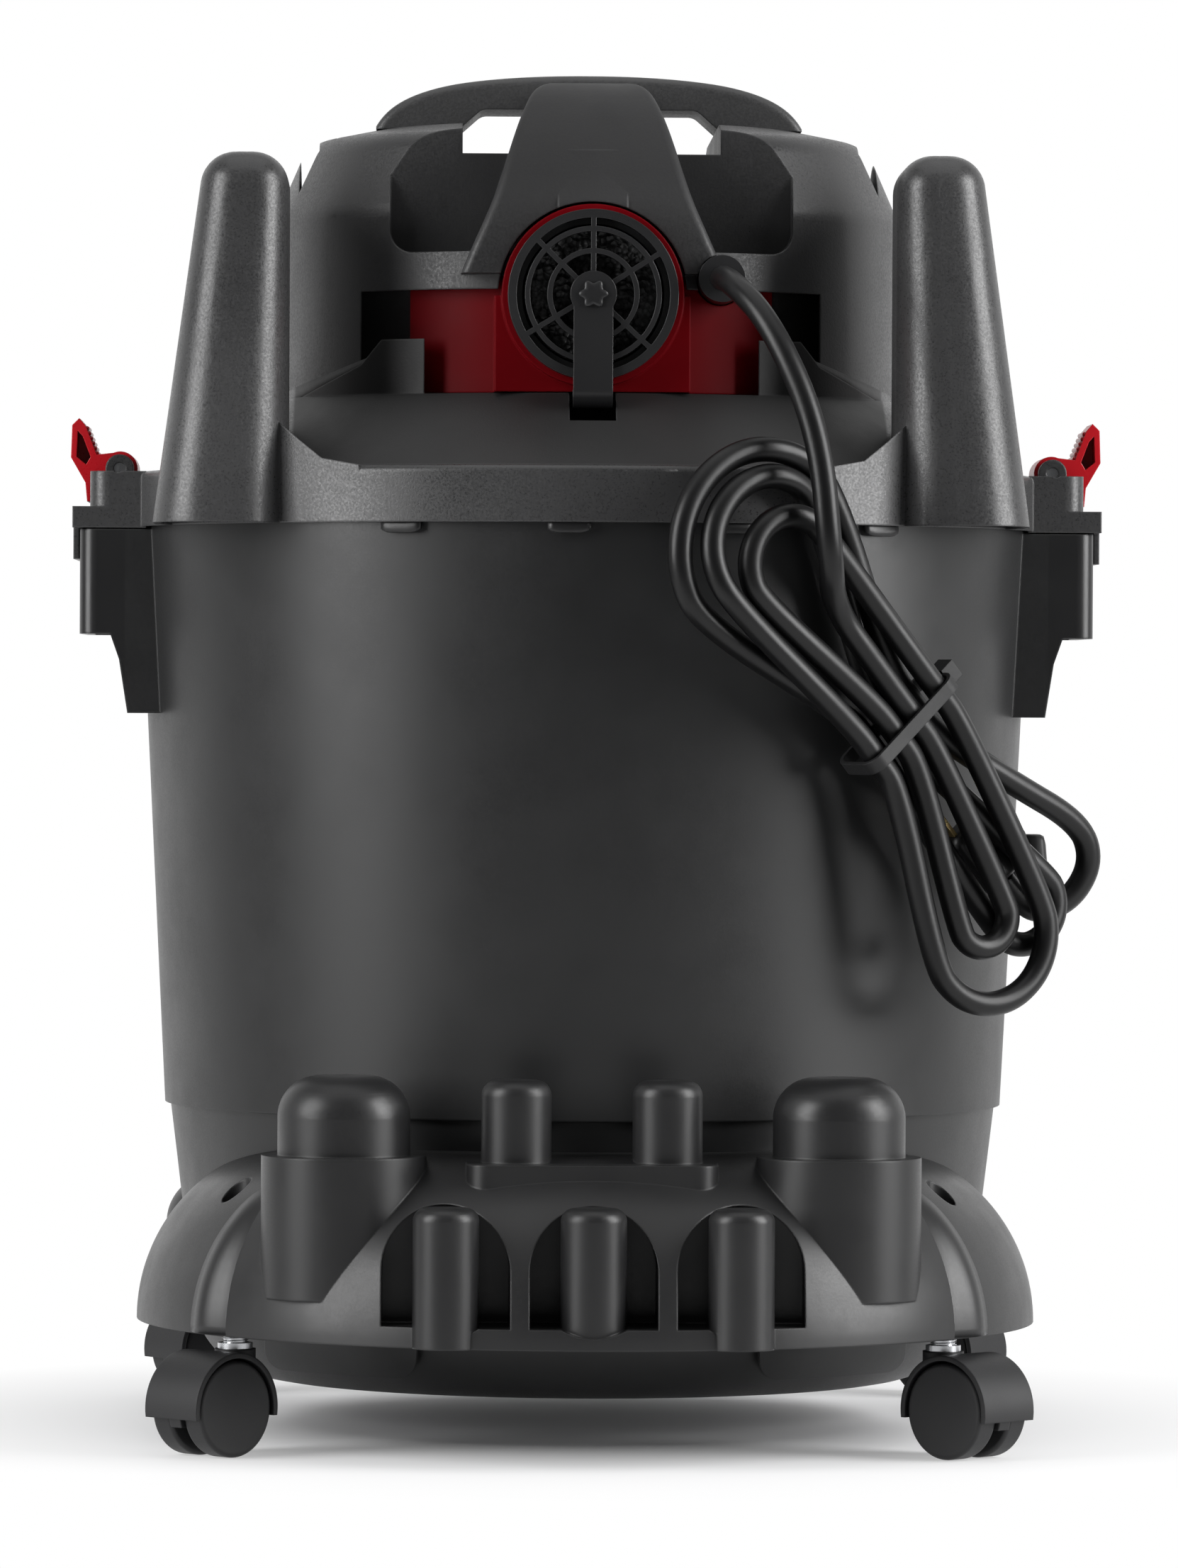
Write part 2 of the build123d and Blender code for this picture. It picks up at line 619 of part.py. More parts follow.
keep_out = tank_body(ease, rim_z)
shell = caddy_dome(0)
room = caddy_dome(caddy_wall)
behind = box(-300, 300, -300, -14, 0, ledge_z)
shell = shell & behind
room = room & box(-300, 300, -300, -14 - caddy_wall, 0, ledge_z)
for side in (-1, 1):
    collar = cyl(collar_r, caddy_low + 14, collar_top, side * big_x, big_y)
    tip = cyl(big_r, collar_top - 4, big_top, side * big_x, big_y)
    tip = fillet(tip.faces().sort_by(Axis.Z)[-1].edges(), big_r * 0.62)
    shell = shell + collar + tip
    room = room + cyl(collar_r - caddy_wall, 0, collar_top - caddy_wall, side * big_x, big_y)
    room = room + cyl(big_r - caddy_wall, 0, big_top - 6, side * big_x, big_y)
pan_half = mid_x + mid_r + 5
pan_top = collar_top - 2
pan = box(-pan_half, pan_half, mid_y - mid_r - 8, mid_y + mid_r + 8, caddy_low + 20, pan_top)
pan = fillet(pan.edges().filter_by(Axis.Z), 8)
shell = shell + pan
for side in (-1, 1):
    peg = cyl(mid_r, pan_top - 4, mid_top, side * mid_x, mid_y)
    shell = shell + fillet(peg.faces().sort_by(Axis.Z)[-1].edges(), mid_r * 0.45)
room = room + box(-pan_half + 3, pan_half - 3, mid_y - mid_r - 5, mid_y + mid_r + 5, 0, pan_top - 3)
caddy = shell - (room - keep_out)
def pocket(x, grow):
    half = arch_half + grow
    spring = small_top - arch_half
    deep = small_y + cell_deep - 13 + grow
    solid = box(x - half, x + half, small_y - 30, deep, arch_low - grow, spring)
    return solid + ycyl(half, small_y - 30, deep, x, spring)


for k in (-1, 0, 1):
    x = k * small_x
    caddy = caddy + (pocket(x, cell_wall) & shell)
    caddy = caddy - pocket(x, 0)
    peg = cyl(small_r, caddy_low, small_top, x, small_y)
    peg = fillet(peg.faces().sort_by(Axis.Z)[-1].edges(), small_r * 0.4)
    web = box(x - 3, x + 3, small_y, small_y + cell_deep - 12, caddy_low + 2, small_top - 3)
    caddy = caddy + peg + web
boss_top = caddy_low + 24
stem_top = caddy_low + 19
for side in (-1, 1):
    boss = cyl(9, caddy_low, boss_top, side * rear_x, rear_y)
    rib = box(side * rear_x - 2, side * rear_x + 2, rear_y - 34, rear_y + 34, caddy_low + 2, boss_top + 40)
    rib = rib & caddy_dome(0.5)
    caddy = caddy + boss + rib
    caddy = caddy - cyl(stem_r + slip, caddy_low - 1, stem_top, side * rear_x, rear_y)
reach = math.hypot(screw_x, screw_y - caddy_y) - (caddy_r - caddy_round)
screw_top = caddy_low + math.sqrt(caddy_round**2 - reach**2) - screw_deep
screws = []
for side in (-1, 1):
    seat = cyl(screw_r + 3.5, screw_top - 12, screw_top + screw_deep, side * screw_x, screw_y)
    seat = seat & caddy_dome(0.2)
    caddy = caddy + seat - cyl(screw_r + ease, screw_top, screw_top + 40, side * screw_x, screw_y)
    screw = cyl(screw_r, screw_top, screw_top + 3.2) + cyl(2.0, screw_top - 14, screw_top + 1)
    screw = fillet(screw.faces().sort_by(Axis.Z)[-1].edges(), 1.4)
    for angle in (0, 90):
        screw = screw - Rot(0, 0, 45 + angle) * box(-2.6, 2.6, -0.55, 0.55, screw_top + 1.4, screw_top + 4)
    caddy = caddy - cyl(2.0 + slip, screw_top - 15, screw_top + 1, side * screw_x, screw_y)
    screws.append(Pos(side * screw_x, screw_y, 0) * screw)
caddy = caddy - keep_out
write("tool_caddy", caddy)
write("caddy_screws", Compound(screws))

# Front feet
for name, side in (("foot_left", -1), ("foot_right", 1)):
    reach = math.hypot(front_x, front_y)
    turn = math.degrees(math.atan2(front_y, front_x))
    foot = fillet(cyl(24, caddy_low, caddy_low + 40, reach, 0).faces().sort_by(Axis.Z)[-1].edges(), 18)
    foot = foot + box(reach - 46, reach, -22, 22, caddy_low, caddy_low + 34)
    foot = foot - (cyl(20, 0, caddy_low + 30, reach, 0) - cyl(9, 0, 200, reach, 0))
    foot = foot - cyl(stem_r + slip, caddy_low - 1, stem_top, reach, 0)
    foot = Rot(0, 0, turn) * foot - keep_out
    write(name, foot if side > 0 else mirror_x(foot))


# Casters
def caster(tag, x, y, turn):
    place = Pos(x, y, 0) * Rot(0, 0, turn)
    wide = wheel_gap + wheel_w
    arch = ycyl(wheel_r + 2.6, -wide - 0.4, wide + 0.4, trail, wheel_r)
    arch = arch - ycyl(wheel_r + 0.8, -wide - 1, wide + 1, trail, wheel_r)
    arch = arch & box(-60, 60, -60, 60, wheel_r - 3, 80)
    web = ycyl(wheel_r + 1, -wheel_gap + 0.5, wheel_gap - 0.5, trail, wheel_r)
    web = web & box(-60, 60, -60, 60, wheel_r - 6, 80)
    boss = cyl(7, wheel_r, caster_top, 0, 0) - ycyl(wheel_r + 0.8, -20, 20, trail, wheel_r)
    boss = boss & box(-60, 60, -60, 60, caster_top - 8, 80)
    hood = arch + web + boss
    axle_r = 2.0
    hood = hood - ycyl(axle_r + slip, -20, 20, trail, wheel_r)
    write("caster_hood_" + tag, place * hood)
    stem = cyl(6, caster_top, caster_top + 2) + cyl(stem_r, caster_top, stem_top - 0.5)
    write("caster_stem_" + tag, place * stem)
    axle = ycyl(axle_r, -wide + 1, wide - 1, trail, wheel_r)
    write("caster_axle_" + tag, place * axle)
    wheel = ycyl(wheel_r, wheel_gap, wide, trail, wheel_r)
    wheel = fillet(wheel.edges().filter_by(GeomType.CIRCLE), 1.4)
    wheel = wheel - ycyl(axle_r + 0.02, 0, wide - 1, trail, wheel_r)
    pair = Compound([place * wheel, place * mirror(wheel, about=Plane.XZ)])
    write("caster_wheels_" + tag, pair)


caster("rl", -rear_x, rear_y, 225)
caster("rr", rear_x, rear_y, 315)
caster("fl", -front_x, front_y, 215)
caster("fr", front_x, front_y, 325)


# Power cord: a free stretch from the gland, then a tied hank of three turns and a plug
hank_y = -math.sqrt(hank_r**2 - hank_x**2)
waist = Vector(hank_x, hank_y, hank_z)
side_dir = Vector(math.cos(math.radians(hank_turn)), math.sin(math.radians(hank_turn)), 0)
out_dir = Vector(math.sin(math.radians(hank_turn)), -math.cos(math.radians(hank_turn)), 0)
tilt = math.radians(hank_tilt)
along = side_dir * math.cos(tilt) - Vector(0, 0, 1) * math.sin(tilt)
across = side_dir * math.sin(tilt) + Vector(0, 0, 1) * math.cos(tilt)


def hank_point(u, w, n):
    return waist + along * u + across * w + out_dir * n


def hank_dir(u, w):
    return (along * u + across * w).normalized()


def loop_knots(end, turn, length, radius, enter, n0, n1, n2):
    a = (end * math.cos(math.radians(turn)), end * math.sin(math.radians(turn)))
    b = (-a[1] * end, a[0] * end)
    cu = length * a[0]
    cw = length * a[1]
    e = enter * radius
    return [
        (hank_point(cu + e * b[0], cw + e * b[1], n0), hank_dir(a[0], a[1])),
        (hank_point(cu + radius * a[0], cw + radius * a[1], n1), hank_dir(-enter * b[0], -enter * b[1])),
        (hank_point(cu - e * b[0], cw - e * b[1], n2), hank_dir(-a[0], -a[1])),
    ]


front = lay / 2
rear = -lay / 2
down = hank_dir(1, 0)
up = hank_dir(-1, 0)
lead = 24.0
lane = [-1.5 * waist_step, -0.5 * waist_step, lay - 0.5 * waist_step, 1.5 * waist_step]
knots = [(hank_point(0, lane[2], front), down)]
knots += loop_knots(1, -16, 74, 10.5, 1, front, front, front)
knots += [(hank_point(0, lane[1], front), up)]
knots += loop_knots(-1, 0, 70, 12.5, -1, front, front, front)
knots += [(hank_point(0, lane[3], front), down)]
knots += loop_knots(1, -16, 80, 24.5, 1, front, front, front)
knots += [(hank_point(0, lane[0], front), up)]
knots += loop_knots(-1, 0, 78, 23.5, -1, front, 0, rear)
knots += [(hank_point(0, 0, rear), down)]
knots += loop_knots(1, 0, 84, 14, 1, rear, rear, rear)
knots += [(hank_point(0, -waist_step, rear), up)]
knots += loop_knots(-1, 0, 78, 35, -1, rear, rear, rear)
knots += [(hank_point(0, waist_step, rear), down)]
knots += [(hank_point(88, 41, -7), down), (hank_point(106, 23, -11.5), hank_dir(0, -1)),
          (hank_point(88, 5, -15.4), up)]


def biarc(p0, t0, p1, t1):
    v = p1 - p0
    s = t0 + t1
    a = s.dot(s) - 4
    b = -2 * v.dot(s)
    c = v.dot(v)
    if abs(a) < 1e-9:
        d = -c / b
    else:
        root = math.sqrt(b * b - 4 * a * c)
        d = min(x for x in ((-b + root) / (2 * a), (-b - root) / (2 * a)) if x > 0)
    q0 = p0 + t0 * d
    q1 = p1 - t1 * d
    return (q0 + q1) * 0.5, (q1 - q0).normalized()


def arc_radius(p, t, q):
    v = q - p
    off = v.cross(t).length
    return 1e9 if off < 1e-9 else v.dot(v) / (2 * off)


start = hank_point(-lead, lane[2], front)
edges = [Line(start, knots[0][0])]
radii = []
for (p0, t0), (p1, t1) in zip(knots, knots[1:]):
    joint, heading = biarc(p0, t0, p1, t1)
    edges.append(TangentArc(p0, joint, tangent=t0))
    edges.append(TangentArc(joint, p1, tangent=heading))
    radii.append(arc_radius(p0, t0, joint))
    radii.append(arc_radius(joint, heading, p1))
tail_end = knots[-1][0] + up * 11
edges.append(Line(knots[-1][0], tail_end))
hank_path = Wire([e.edge() for e in edges])
hank_length = hank_path.length


def tube(path, where, heading):
    return sweep(Plane(origin=where, z_dir=heading) * Circle(cord_r), path=path)


hank = tube(hank_path, start, down)
write("cord_hank", hank)
hank_share = hank.volume / (math.pi * cord_r**2 * hank_length)
print("hank length", round(hank_length, 1), "volume ratio", round(hank_share, 5))
print("hank least radius", round(min(radii), 2))
count = int(hank_length / 2)
spots = [hank_path.position_at(k / count) for k in range(count + 1)]
near = 1e9
step = hank_length / count
for i in range(count + 1):
    for j in range(i + int(34 / step), count + 1):
        near = min(near, (spots[i] - spots[j]).length)
print("hank least gap", round(near - 2 * cord_r, 2))

gate = Vector(gland_x, gland_face, gland_z)
route = [gate, gate + Vector(0, -26, 0), gate + Vector(15, -48, -17), gate + Vector(31, -58, -54),
         hank_point(-70, 6, 20), start - down * 26, start]
turns = []
for p, q, r in zip(route, route[1:], route[2:]):
    bend = math.radians((q - p).get_angle(r - q))
    turns.append(0.45 * min((q - p).length, (r - q).length) / math.tan(bend / 2))
cord_path = FilletPolyline(*route, radius=turns)
cord = tube(cord_path, gate, (route[1] - route[0]).normalized())
write("cord", cord)
cord_length = cord_path.length
print("cord radii", [round(t, 1) for t in turns])
print("cord volume ratio", round(cord.volume / (math.pi * cord_r**2 * cord_length), 5))
print("cord length in all", round(cord_length + hank_length, 1))

# Plug on the end of the tail, with two flat blades
plug_frame = Plane(origin=tail_end, x_dir=across, z_dir=up)
plug = plug_frame * (Pos(0, 0, plug_long / 2) * Box(plug_wide, plug_thick, plug_long))
plug = fillet(plug.edges(), 4)
write("plug", plug)
blade = Pos(0, 0, plug_long + blade_long / 2) * Box(1.5, 6.3, blade_long)
blades = [plug_frame * Pos(side * blade_gap / 2, 0, 0) * blade for side in (-1, 1)]
write("plug_blades", Compound(blades))

# Cable tie round the waist of the hank
tie_frame = Plane(origin=waist, x_dir=across, z_dir=along)
tie_w = 3 * waist_step + 2 * cord_r + 1.2
tie_n = lay + 2 * cord_r + 1.2
band = extrude(RectangleRounded(tie_w + 2.8, tie_n + 2.8, 5.4), amount=4.8)
band = band - extrude(RectangleRounded(tie_w, tie_n, 4), amount=4.8)
tie = band + Pos(tie_w / 2 + 4, 0, 2.4) * Box(6, 8, 7)
tie = tie_frame * (Pos(0, 0, -2.4) * tie)
write("cable_tie", tie)
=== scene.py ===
import bpy
import bmesh
import math
from mathutils import Vector, Matrix, noise


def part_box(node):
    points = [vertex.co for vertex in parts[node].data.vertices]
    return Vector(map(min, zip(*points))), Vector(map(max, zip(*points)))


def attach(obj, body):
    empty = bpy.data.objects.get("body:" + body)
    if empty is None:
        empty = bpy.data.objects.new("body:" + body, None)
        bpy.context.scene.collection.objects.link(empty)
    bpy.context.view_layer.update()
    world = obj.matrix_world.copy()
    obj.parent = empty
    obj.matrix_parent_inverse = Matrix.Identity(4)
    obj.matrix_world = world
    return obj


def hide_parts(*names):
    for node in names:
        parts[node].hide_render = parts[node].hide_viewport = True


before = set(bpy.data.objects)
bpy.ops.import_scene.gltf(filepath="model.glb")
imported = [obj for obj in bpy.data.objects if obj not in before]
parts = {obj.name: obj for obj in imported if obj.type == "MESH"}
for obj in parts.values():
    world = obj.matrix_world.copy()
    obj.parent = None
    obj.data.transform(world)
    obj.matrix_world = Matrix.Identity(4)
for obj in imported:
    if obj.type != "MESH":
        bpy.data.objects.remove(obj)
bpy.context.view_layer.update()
scene = bpy.context.scene
scene.view_settings.view_transform = "Standard"
tankAxis = Vector((0, 0.013, 0))
fullTurn = 2 * math.pi
print("frame loaded:", len(parts), "nodes")


# node helpers for the finishes
def newMaterial(name):
    mat = bpy.data.materials.new(name)
    mat.use_nodes = True
    tree = mat.node_tree
    tree.nodes.clear()
    out = tree.nodes.new("ShaderNodeOutputMaterial")
    shader = tree.nodes.new("ShaderNodeBsdfPrincipled")
    tree.links.new(shader.outputs[0], out.inputs["Surface"])
    return mat, tree, shader


def feed(tree, value, socket):      # links an output, or sets a colour or a number
    if isinstance(value, bpy.types.NodeSocket):
        tree.links.new(value, socket)
    elif isinstance(value, tuple):
        socket.default_value = (*value, 1)
    else:
        socket.default_value = value


def addCoords(tree):
    return tree.nodes.new("ShaderNodeTexCoord").outputs["Object"]


def addNoise(tree, coords, scale, detail=2.0, rough=0.5, stretch=None):
    cloud = tree.nodes.new("ShaderNodeTexNoise")
    cloud.inputs["Scale"].default_value = scale
    cloud.inputs["Detail"].default_value = detail
    cloud.inputs["Roughness"].default_value = rough
    if stretch:
        mapping = tree.nodes.new("ShaderNodeMapping")
        mapping.inputs["Scale"].default_value = stretch
        tree.links.new(coords, mapping.inputs["Vector"])
        coords = mapping.outputs["Vector"]
    tree.links.new(coords, cloud.inputs["Vector"])
    return cloud.outputs["Fac"]


def addRange(tree, value, low, high, fromLow=0.3, fromHigh=0.7):
    node = tree.nodes.new("ShaderNodeMapRange")
    node.inputs["From Min"].default_value = fromLow
    node.inputs["From Max"].default_value = fromHigh
    node.inputs["To Min"].default_value = low
    node.inputs["To Max"].default_value = high
    tree.links.new(value, node.inputs["Value"])
    return node.outputs["Result"]


def addMix(tree, factor, a, b, kind="RGBA"):
    node = tree.nodes.new("ShaderNodeMix")
    node.data_type = kind
    for value, name in ((factor, "Factor"), (a, "A"), (b, "B")):
        feed(tree, value, node.inputs[name])
    return node.outputs["Result"]


def addMath(tree, operation, a, b):
    node = tree.nodes.new("ShaderNodeMath")
    node.operation = operation
    feed(tree, a, node.inputs[0])
    feed(tree, b, node.inputs[1])
    return node.outputs[0]


def addBump(tree, shader, height, strength, depth):
    bump = tree.nodes.new("ShaderNodeBump")
    bump.inputs["Strength"].default_value = strength
    bump.inputs["Distance"].default_value = depth
    tree.links.new(height, bump.inputs["Height"])
    tree.links.new(bump.outputs["Normal"], shader.inputs["Normal"])
    return bump


# a mask from where a point lies: sideways, in height, or out from the tank's axis
def addZone(tree, coords, where):
    apart = tree.nodes.new("ShaderNodeSeparateXYZ")
    tree.links.new(coords, apart.inputs[0])
    flat = tree.nodes.new("ShaderNodeMapping")
    flat.inputs["Location"].default_value = (-tankAxis.x, -tankAxis.y, 0)
    flat.inputs["Scale"].default_value = (1, 1, 0)
    tree.links.new(coords, flat.inputs["Vector"])
    out = tree.nodes.new("ShaderNodeVectorMath")
    out.operation = "LENGTH"
    tree.links.new(flat.outputs[0], out.inputs[0])
    measures = {"side": addMath(tree, "ABSOLUTE", apart.outputs["X"], 0.0),
                "height": apart.outputs["Z"], "out": out.outputs["Value"]}
    mask = None
    for measure, start, stop in where:
        edge = addRange(tree, measures[measure], 0, 1, start, stop)
        mask = edge if mask is None else addMath(tree, "MULTIPLY", mask, edge)
    return mask


# what a moulded finish has unless its own settings say otherwise
plasticLook = {"cloudScale": 11, "cloudDetail": 3, "grainScale": 1400, "grainDetail": 2, "rubAndGlintScale": 38,
               "rubAndGlintDetail": 4, "harsh": 0.6, "speckMix": 0.35, "sparkle": 0.04,
               "grain": 0.25, "grainDepth": 0.00006, "specular": 0.45, "edge": 0.0009, "edgeSamples": 5,
               "edgeTurn": (0.995, 0.86), "glintPatches": (0.15, 0.6), "glintGain": 1.9, "glintLift": 0.004}


def mouldedPlastic(name, look):
    look = {**plasticLook, **look}
    mat, tree, shader = newMaterial(name)
    coords = addCoords(tree)
    cloud = addNoise(tree, coords, look["cloudScale"], look["cloudDetail"])
    speck = addNoise(tree, coords, look["grainScale"], look["grainDetail"], look["harsh"])
    rubAndGlint = addNoise(tree, coords, look["rubAndGlintScale"], look["rubAndGlintDetail"], look["harsh"])
    tone = addMath(tree, "ADD", addMath(tree, "MULTIPLY", speck, look["speckMix"]),
                   addRange(tree, cloud, 0.0, 1.0 - look["speckMix"]))
    colour = addMix(tree, tone, look["dark"], look["light"])
    sparkle = addRange(tree, speck, -look["sparkle"], look["sparkle"])
    rough = addMath(tree, "ADD", addRange(tree, rubAndGlint, *look["rough"]), sparkle)
    zone = look.get("zone")
    if zone:
        mask = addZone(tree, coords, zone["where"])
        colour = addMix(tree, mask, colour, addMix(tree, tone, zone["dark"], zone["light"]))
        rough = addMix(tree, mask, rough, addRange(tree, rubAndGlint, *zone["rough"]), "FLOAT")
    # rounded edges, with a painted highlight: the colour turns paler along them, broken into patches by the same
    # noise that varies the roughness
    edge = tree.nodes.new("ShaderNodeBevel")
    edge.samples = look["edgeSamples"]
    edge.inputs["Radius"].default_value = look["edge"]
    turned = tree.nodes.new("ShaderNodeVectorMath")
    turned.operation = "DOT_PRODUCT"
    tree.links.new(edge.outputs["Normal"], turned.inputs[0])
    tree.links.new(tree.nodes.new("ShaderNodeNewGeometry").outputs["Normal"], turned.inputs[1])
    edgeGlint = addMath(tree, "MULTIPLY", addRange(tree, turned.outputs["Value"], 0, 1, *look["edgeTurn"]),
                   addRange(tree, rubAndGlint, *look["glintPatches"]))
    paler = tuple(min(1, look["glintGain"] * v + look["glintLift"]) for v in look["light"])
    colour = addMix(tree, edgeGlint, colour, addMix(tree, tone, look["light"], paler))
    tree.links.new(colour, shader.inputs["Base Color"])
    tree.links.new(rough, shader.inputs["Roughness"])
    shader.inputs["Specular IOR Level"].default_value = look["specular"]
    bump = addBump(tree, shader, speck, look["grain"], look["grainDepth"])
    tree.links.new(edge.outputs["Normal"], bump.inputs["Normal"])
    return mat


steelLook = {"streakScale": 260, "detail": 3, "harsh": 0.6, "stretch": (1, 1, 0.06), "bump": 0.08, "depth": 0.0002}


def brightSteel(name, look):
    look = {**steelLook, **look}
    mat, tree, shader = newMaterial(name)
    streak = addNoise(tree, addCoords(tree), look["streakScale"], look["detail"], look["harsh"], look["stretch"])
    tree.links.new(addMix(tree, streak, look["dark"], look["light"]), shader.inputs["Base Color"])
    tree.links.new(addRange(tree, streak, *look["rough"]), shader.inputs["Roughness"])
    shader.inputs["Metallic"].default_value = 1.0
    addBump(tree, shader, streak, look["bump"], look["depth"])
    return mat


def openFoam(name, look):
    mat, tree, shader = newMaterial(name)
    coords = addCoords(tree)
    cells = tree.nodes.new("ShaderNodeTexVoronoi")
    cells.inputs["Scale"].default_value = look["cellScale"]
    tree.links.new(coords, cells.inputs["Vector"])
    wall = cells.outputs["Distance"]
    wander = addNoise(tree, coords, look["wanderScale"], look["wanderDetail"])
    tree.links.new(addMix(tree, addRange(tree, wall, 1, 0, *look["cellWall"]), look["dark"], look["light"]),
                   shader.inputs["Base Color"])
    tree.links.new(addRange(tree, wander, *look["rough"]), shader.inputs["Roughness"])
    addBump(tree, shader, wall, look["bump"], look["depth"])
    return mat


def pleatedPaper(name, look):
    mat, tree, shader = newMaterial(name)
    fibre = addNoise(tree, addCoords(tree), look["fibreScale"], look["detail"], look["harsh"], look["stretch"])
    tree.links.new(addMix(tree, fibre, look["dark"], look["light"]), shader.inputs["Base Color"])
    tree.links.new(addRange(tree, fibre, *look["rough"]), shader.inputs["Roughness"])
    addBump(tree, shader, fibre, look["bump"], look["depth"])
    return mat


finishes = {
    # the zone on the tank is its two side grips
    "tank": mouldedPlastic("tankCharcoal", {
        "dark": (0.0105, 0.0107, 0.011), "light": (0.016, 0.0162, 0.0166), "rough": (0.37, 0.45),
        "grain": 0.2, "grainScale": 1500, "specular": 0.46,
        "zone": {"where": [("side", 0.1628, 0.1638)], "dark": (0.012, 0.012, 0.0125),
                 "light": (0.017, 0.017, 0.0175), "rough": (0.28, 0.36)}}),
    # the zone on the lid is its smoother apron, rougher and painted darker as shade at the foot of the motor cover
    "lid": mouldedPlastic("lidGrain", {
        "dark": (0.018, 0.018, 0.0185), "light": (0.06, 0.06, 0.061), "rough": (0.32, 0.4),
        "grain": 0.7, "grainScale": 1250, "specular": 0.5, "speckMix": 0.55, "sparkle": 0.12,
        "zone": {"where": [("out", 0.1525, 0.1508), ("side", 0.1042, 0.1032), ("height", 0.3365, 0.3385)],
                 "dark": (0.009, 0.009, 0.0095), "light": (0.014, 0.0135, 0.0135), "rough": (0.46, 0.56)}}),
    # the zone on the cover is the top of its spine, rougher and painted darker as shade that dims its highlight
    "cover": mouldedPlastic("coverGrain", {
        "dark": (0.013, 0.013, 0.0135), "light": (0.044, 0.044, 0.045), "rough": (0.38, 0.46),
        "grain": 0.7, "grainScale": 1250, "speckMix": 0.55, "sparkle": 0.12,
        "zone": {"where": [("height", 0.41, 0.44), ("side", 0.05, 0.036)],
                 "dark": (0.006, 0.006, 0.0065), "light": (0.02, 0.02, 0.021), "rough": (0.6, 0.7)}}),
    "handle": mouldedPlastic("handleGrain", {
        "dark": (0.026, 0.026, 0.0265), "light": (0.066, 0.066, 0.067), "rough": (0.36, 0.44),
        "grain": 0.7, "grainScale": 1250, "speckMix": 0.55, "sparkle": 0.1}),
    "black": mouldedPlastic("satinBlack", {
        "dark": (0.01, 0.01, 0.0105), "light": (0.015, 0.015, 0.0155), "rough": (0.34, 0.44),
        "grain": 0.12, "grainScale": 1700}),
    "caster": mouldedPlastic("casterBlack", {
        "dark": (0.01, 0.01, 0.011), "light": (0.016, 0.016, 0.017), "rough": (0.45, 0.55), "specular": 0.4}),
    "grille": mouldedPlastic("grilleBlack", {
        "dark": (0.012, 0.012, 0.0125), "light": (0.018, 0.018, 0.019), "rough": (0.3, 0.4),
        "grain": 0.1, "specular": 0.5, "edge": 0.0004}),
    # the blower housing's red is a darker copy of the latch red: painted shade under the motor cover
    "red": mouldedPlastic("redPlastic", {
        "dark": (0.11, 0.0006, 0.0026), "light": (0.145, 0.0014, 0.0042), "rough": (0.4, 0.5),
        "grain": 0.14, "speckMix": 0.2, "specular": 0.06}),
    "latch": mouldedPlastic("latchRed", {
        "dark": (0.42, 0.004, 0.01), "light": (0.52, 0.007, 0.014), "rough": (0.28, 0.36),
        "grain": 0.08, "speckMix": 0.2, "specular": 0.5, "edge": 0.0005}),
    "cord": mouldedPlastic("cordJacket", {
        "dark": (0.0034, 0.0034, 0.0037), "light": (0.006, 0.006, 0.0063), "rough": (0.34, 0.42),
        "grain": 0.15, "grainScale": 900, "specular": 0.36, "sparkle": 0.02}),
    "tie": mouldedPlastic("tieNylon", {
        "dark": (0.009, 0.009, 0.0095), "light": (0.014, 0.014, 0.0145), "rough": (0.46, 0.56),
        "grain": 0.08, "specular": 0.36, "edge": 0.0004}),
    "rubber": mouldedPlastic("sealRubber", {
        "dark": (0.012, 0.012, 0.012), "light": (0.018, 0.018, 0.018), "rough": (0.6, 0.75),
        "grain": 0.2, "specular": 0.3}),
    "steel": brightSteel("zincSteel", {
        "dark": (0.5, 0.51, 0.53), "light": (0.72, 0.73, 0.75), "rough": (0.2, 0.36)}),
    "motor": brightSteel("motorSteel", {
        "dark": (0.26, 0.26, 0.27), "light": (0.4, 0.4, 0.41), "rough": (0.35, 0.55)}),
    "brass": brightSteel("bladeBrass", {
        "dark": (0.55, 0.4, 0.16), "light": (0.72, 0.55, 0.26), "rough": (0.22, 0.36)}),
    "foam": openFoam("portFoam", {
        "dark": (0.004, 0.004, 0.004), "light": (0.03, 0.03, 0.031), "rough": (0.45, 0.75),
        "cellScale": 520, "cellWall": (0.1, 0.55), "wanderScale": 60, "wanderDetail": 3, "bump": 0.9,
        "depth": 0.0012}),
    "paper": pleatedPaper("filterPaper", {
        "dark": (0.66, 0.63, 0.55), "light": (0.82, 0.8, 0.73), "rough": (0.75, 0.95),
        "fibreScale": 420, "detail": 4, "harsh": 0.7, "stretch": (1, 1, 0.35), "bump": 0.3, "depth": 0.0003}),
}
wears = {
    "tank": ["tank"],
    "lid": ["lid"],
    "cover": ["motor_cover", "switch_body", "switch_rocker"],
    "handle": ["handle"],
    "grille": ["port_diffuser", "port_tether", "cord_gland"],
    "black": ["tool_caddy", "foot_left", "foot_right", "hose_inlet", "filter_cage", "fan", "float_ball",
              "filter_head", "filter_base"],
    "caster": [n for n in parts if n.startswith(("caster_hood", "caster_wheels"))],
    "red": ["blower_housing"],
    "latch": ["latch_right", "latch_left"],
    "steel": ["latch_pins", "motor_bearings", "motor_shaft", "caddy_screws"]
             + [n for n in parts if n.startswith(("caster_stem", "caster_axle"))],
    "motor": ["motor_can", "motor_armature"],
    "rubber": ["lid_seal"],
    "foam": ["port_foam"],
    "paper": ["filter_media"],
    "cord": ["cord", "cord_hank", "plug"],
    "brass": ["plug_blades"],
    "tie": ["cable_tie"],
}


def dress(obj, finish):
    obj.data.materials.clear()
    obj.data.materials.append(finishes[finish])


for finish, names in wears.items():
    for name in names:
        dress(parts[name], finish)
print("finishes on", sum(len(names) for names in wears.values()), "nodes")

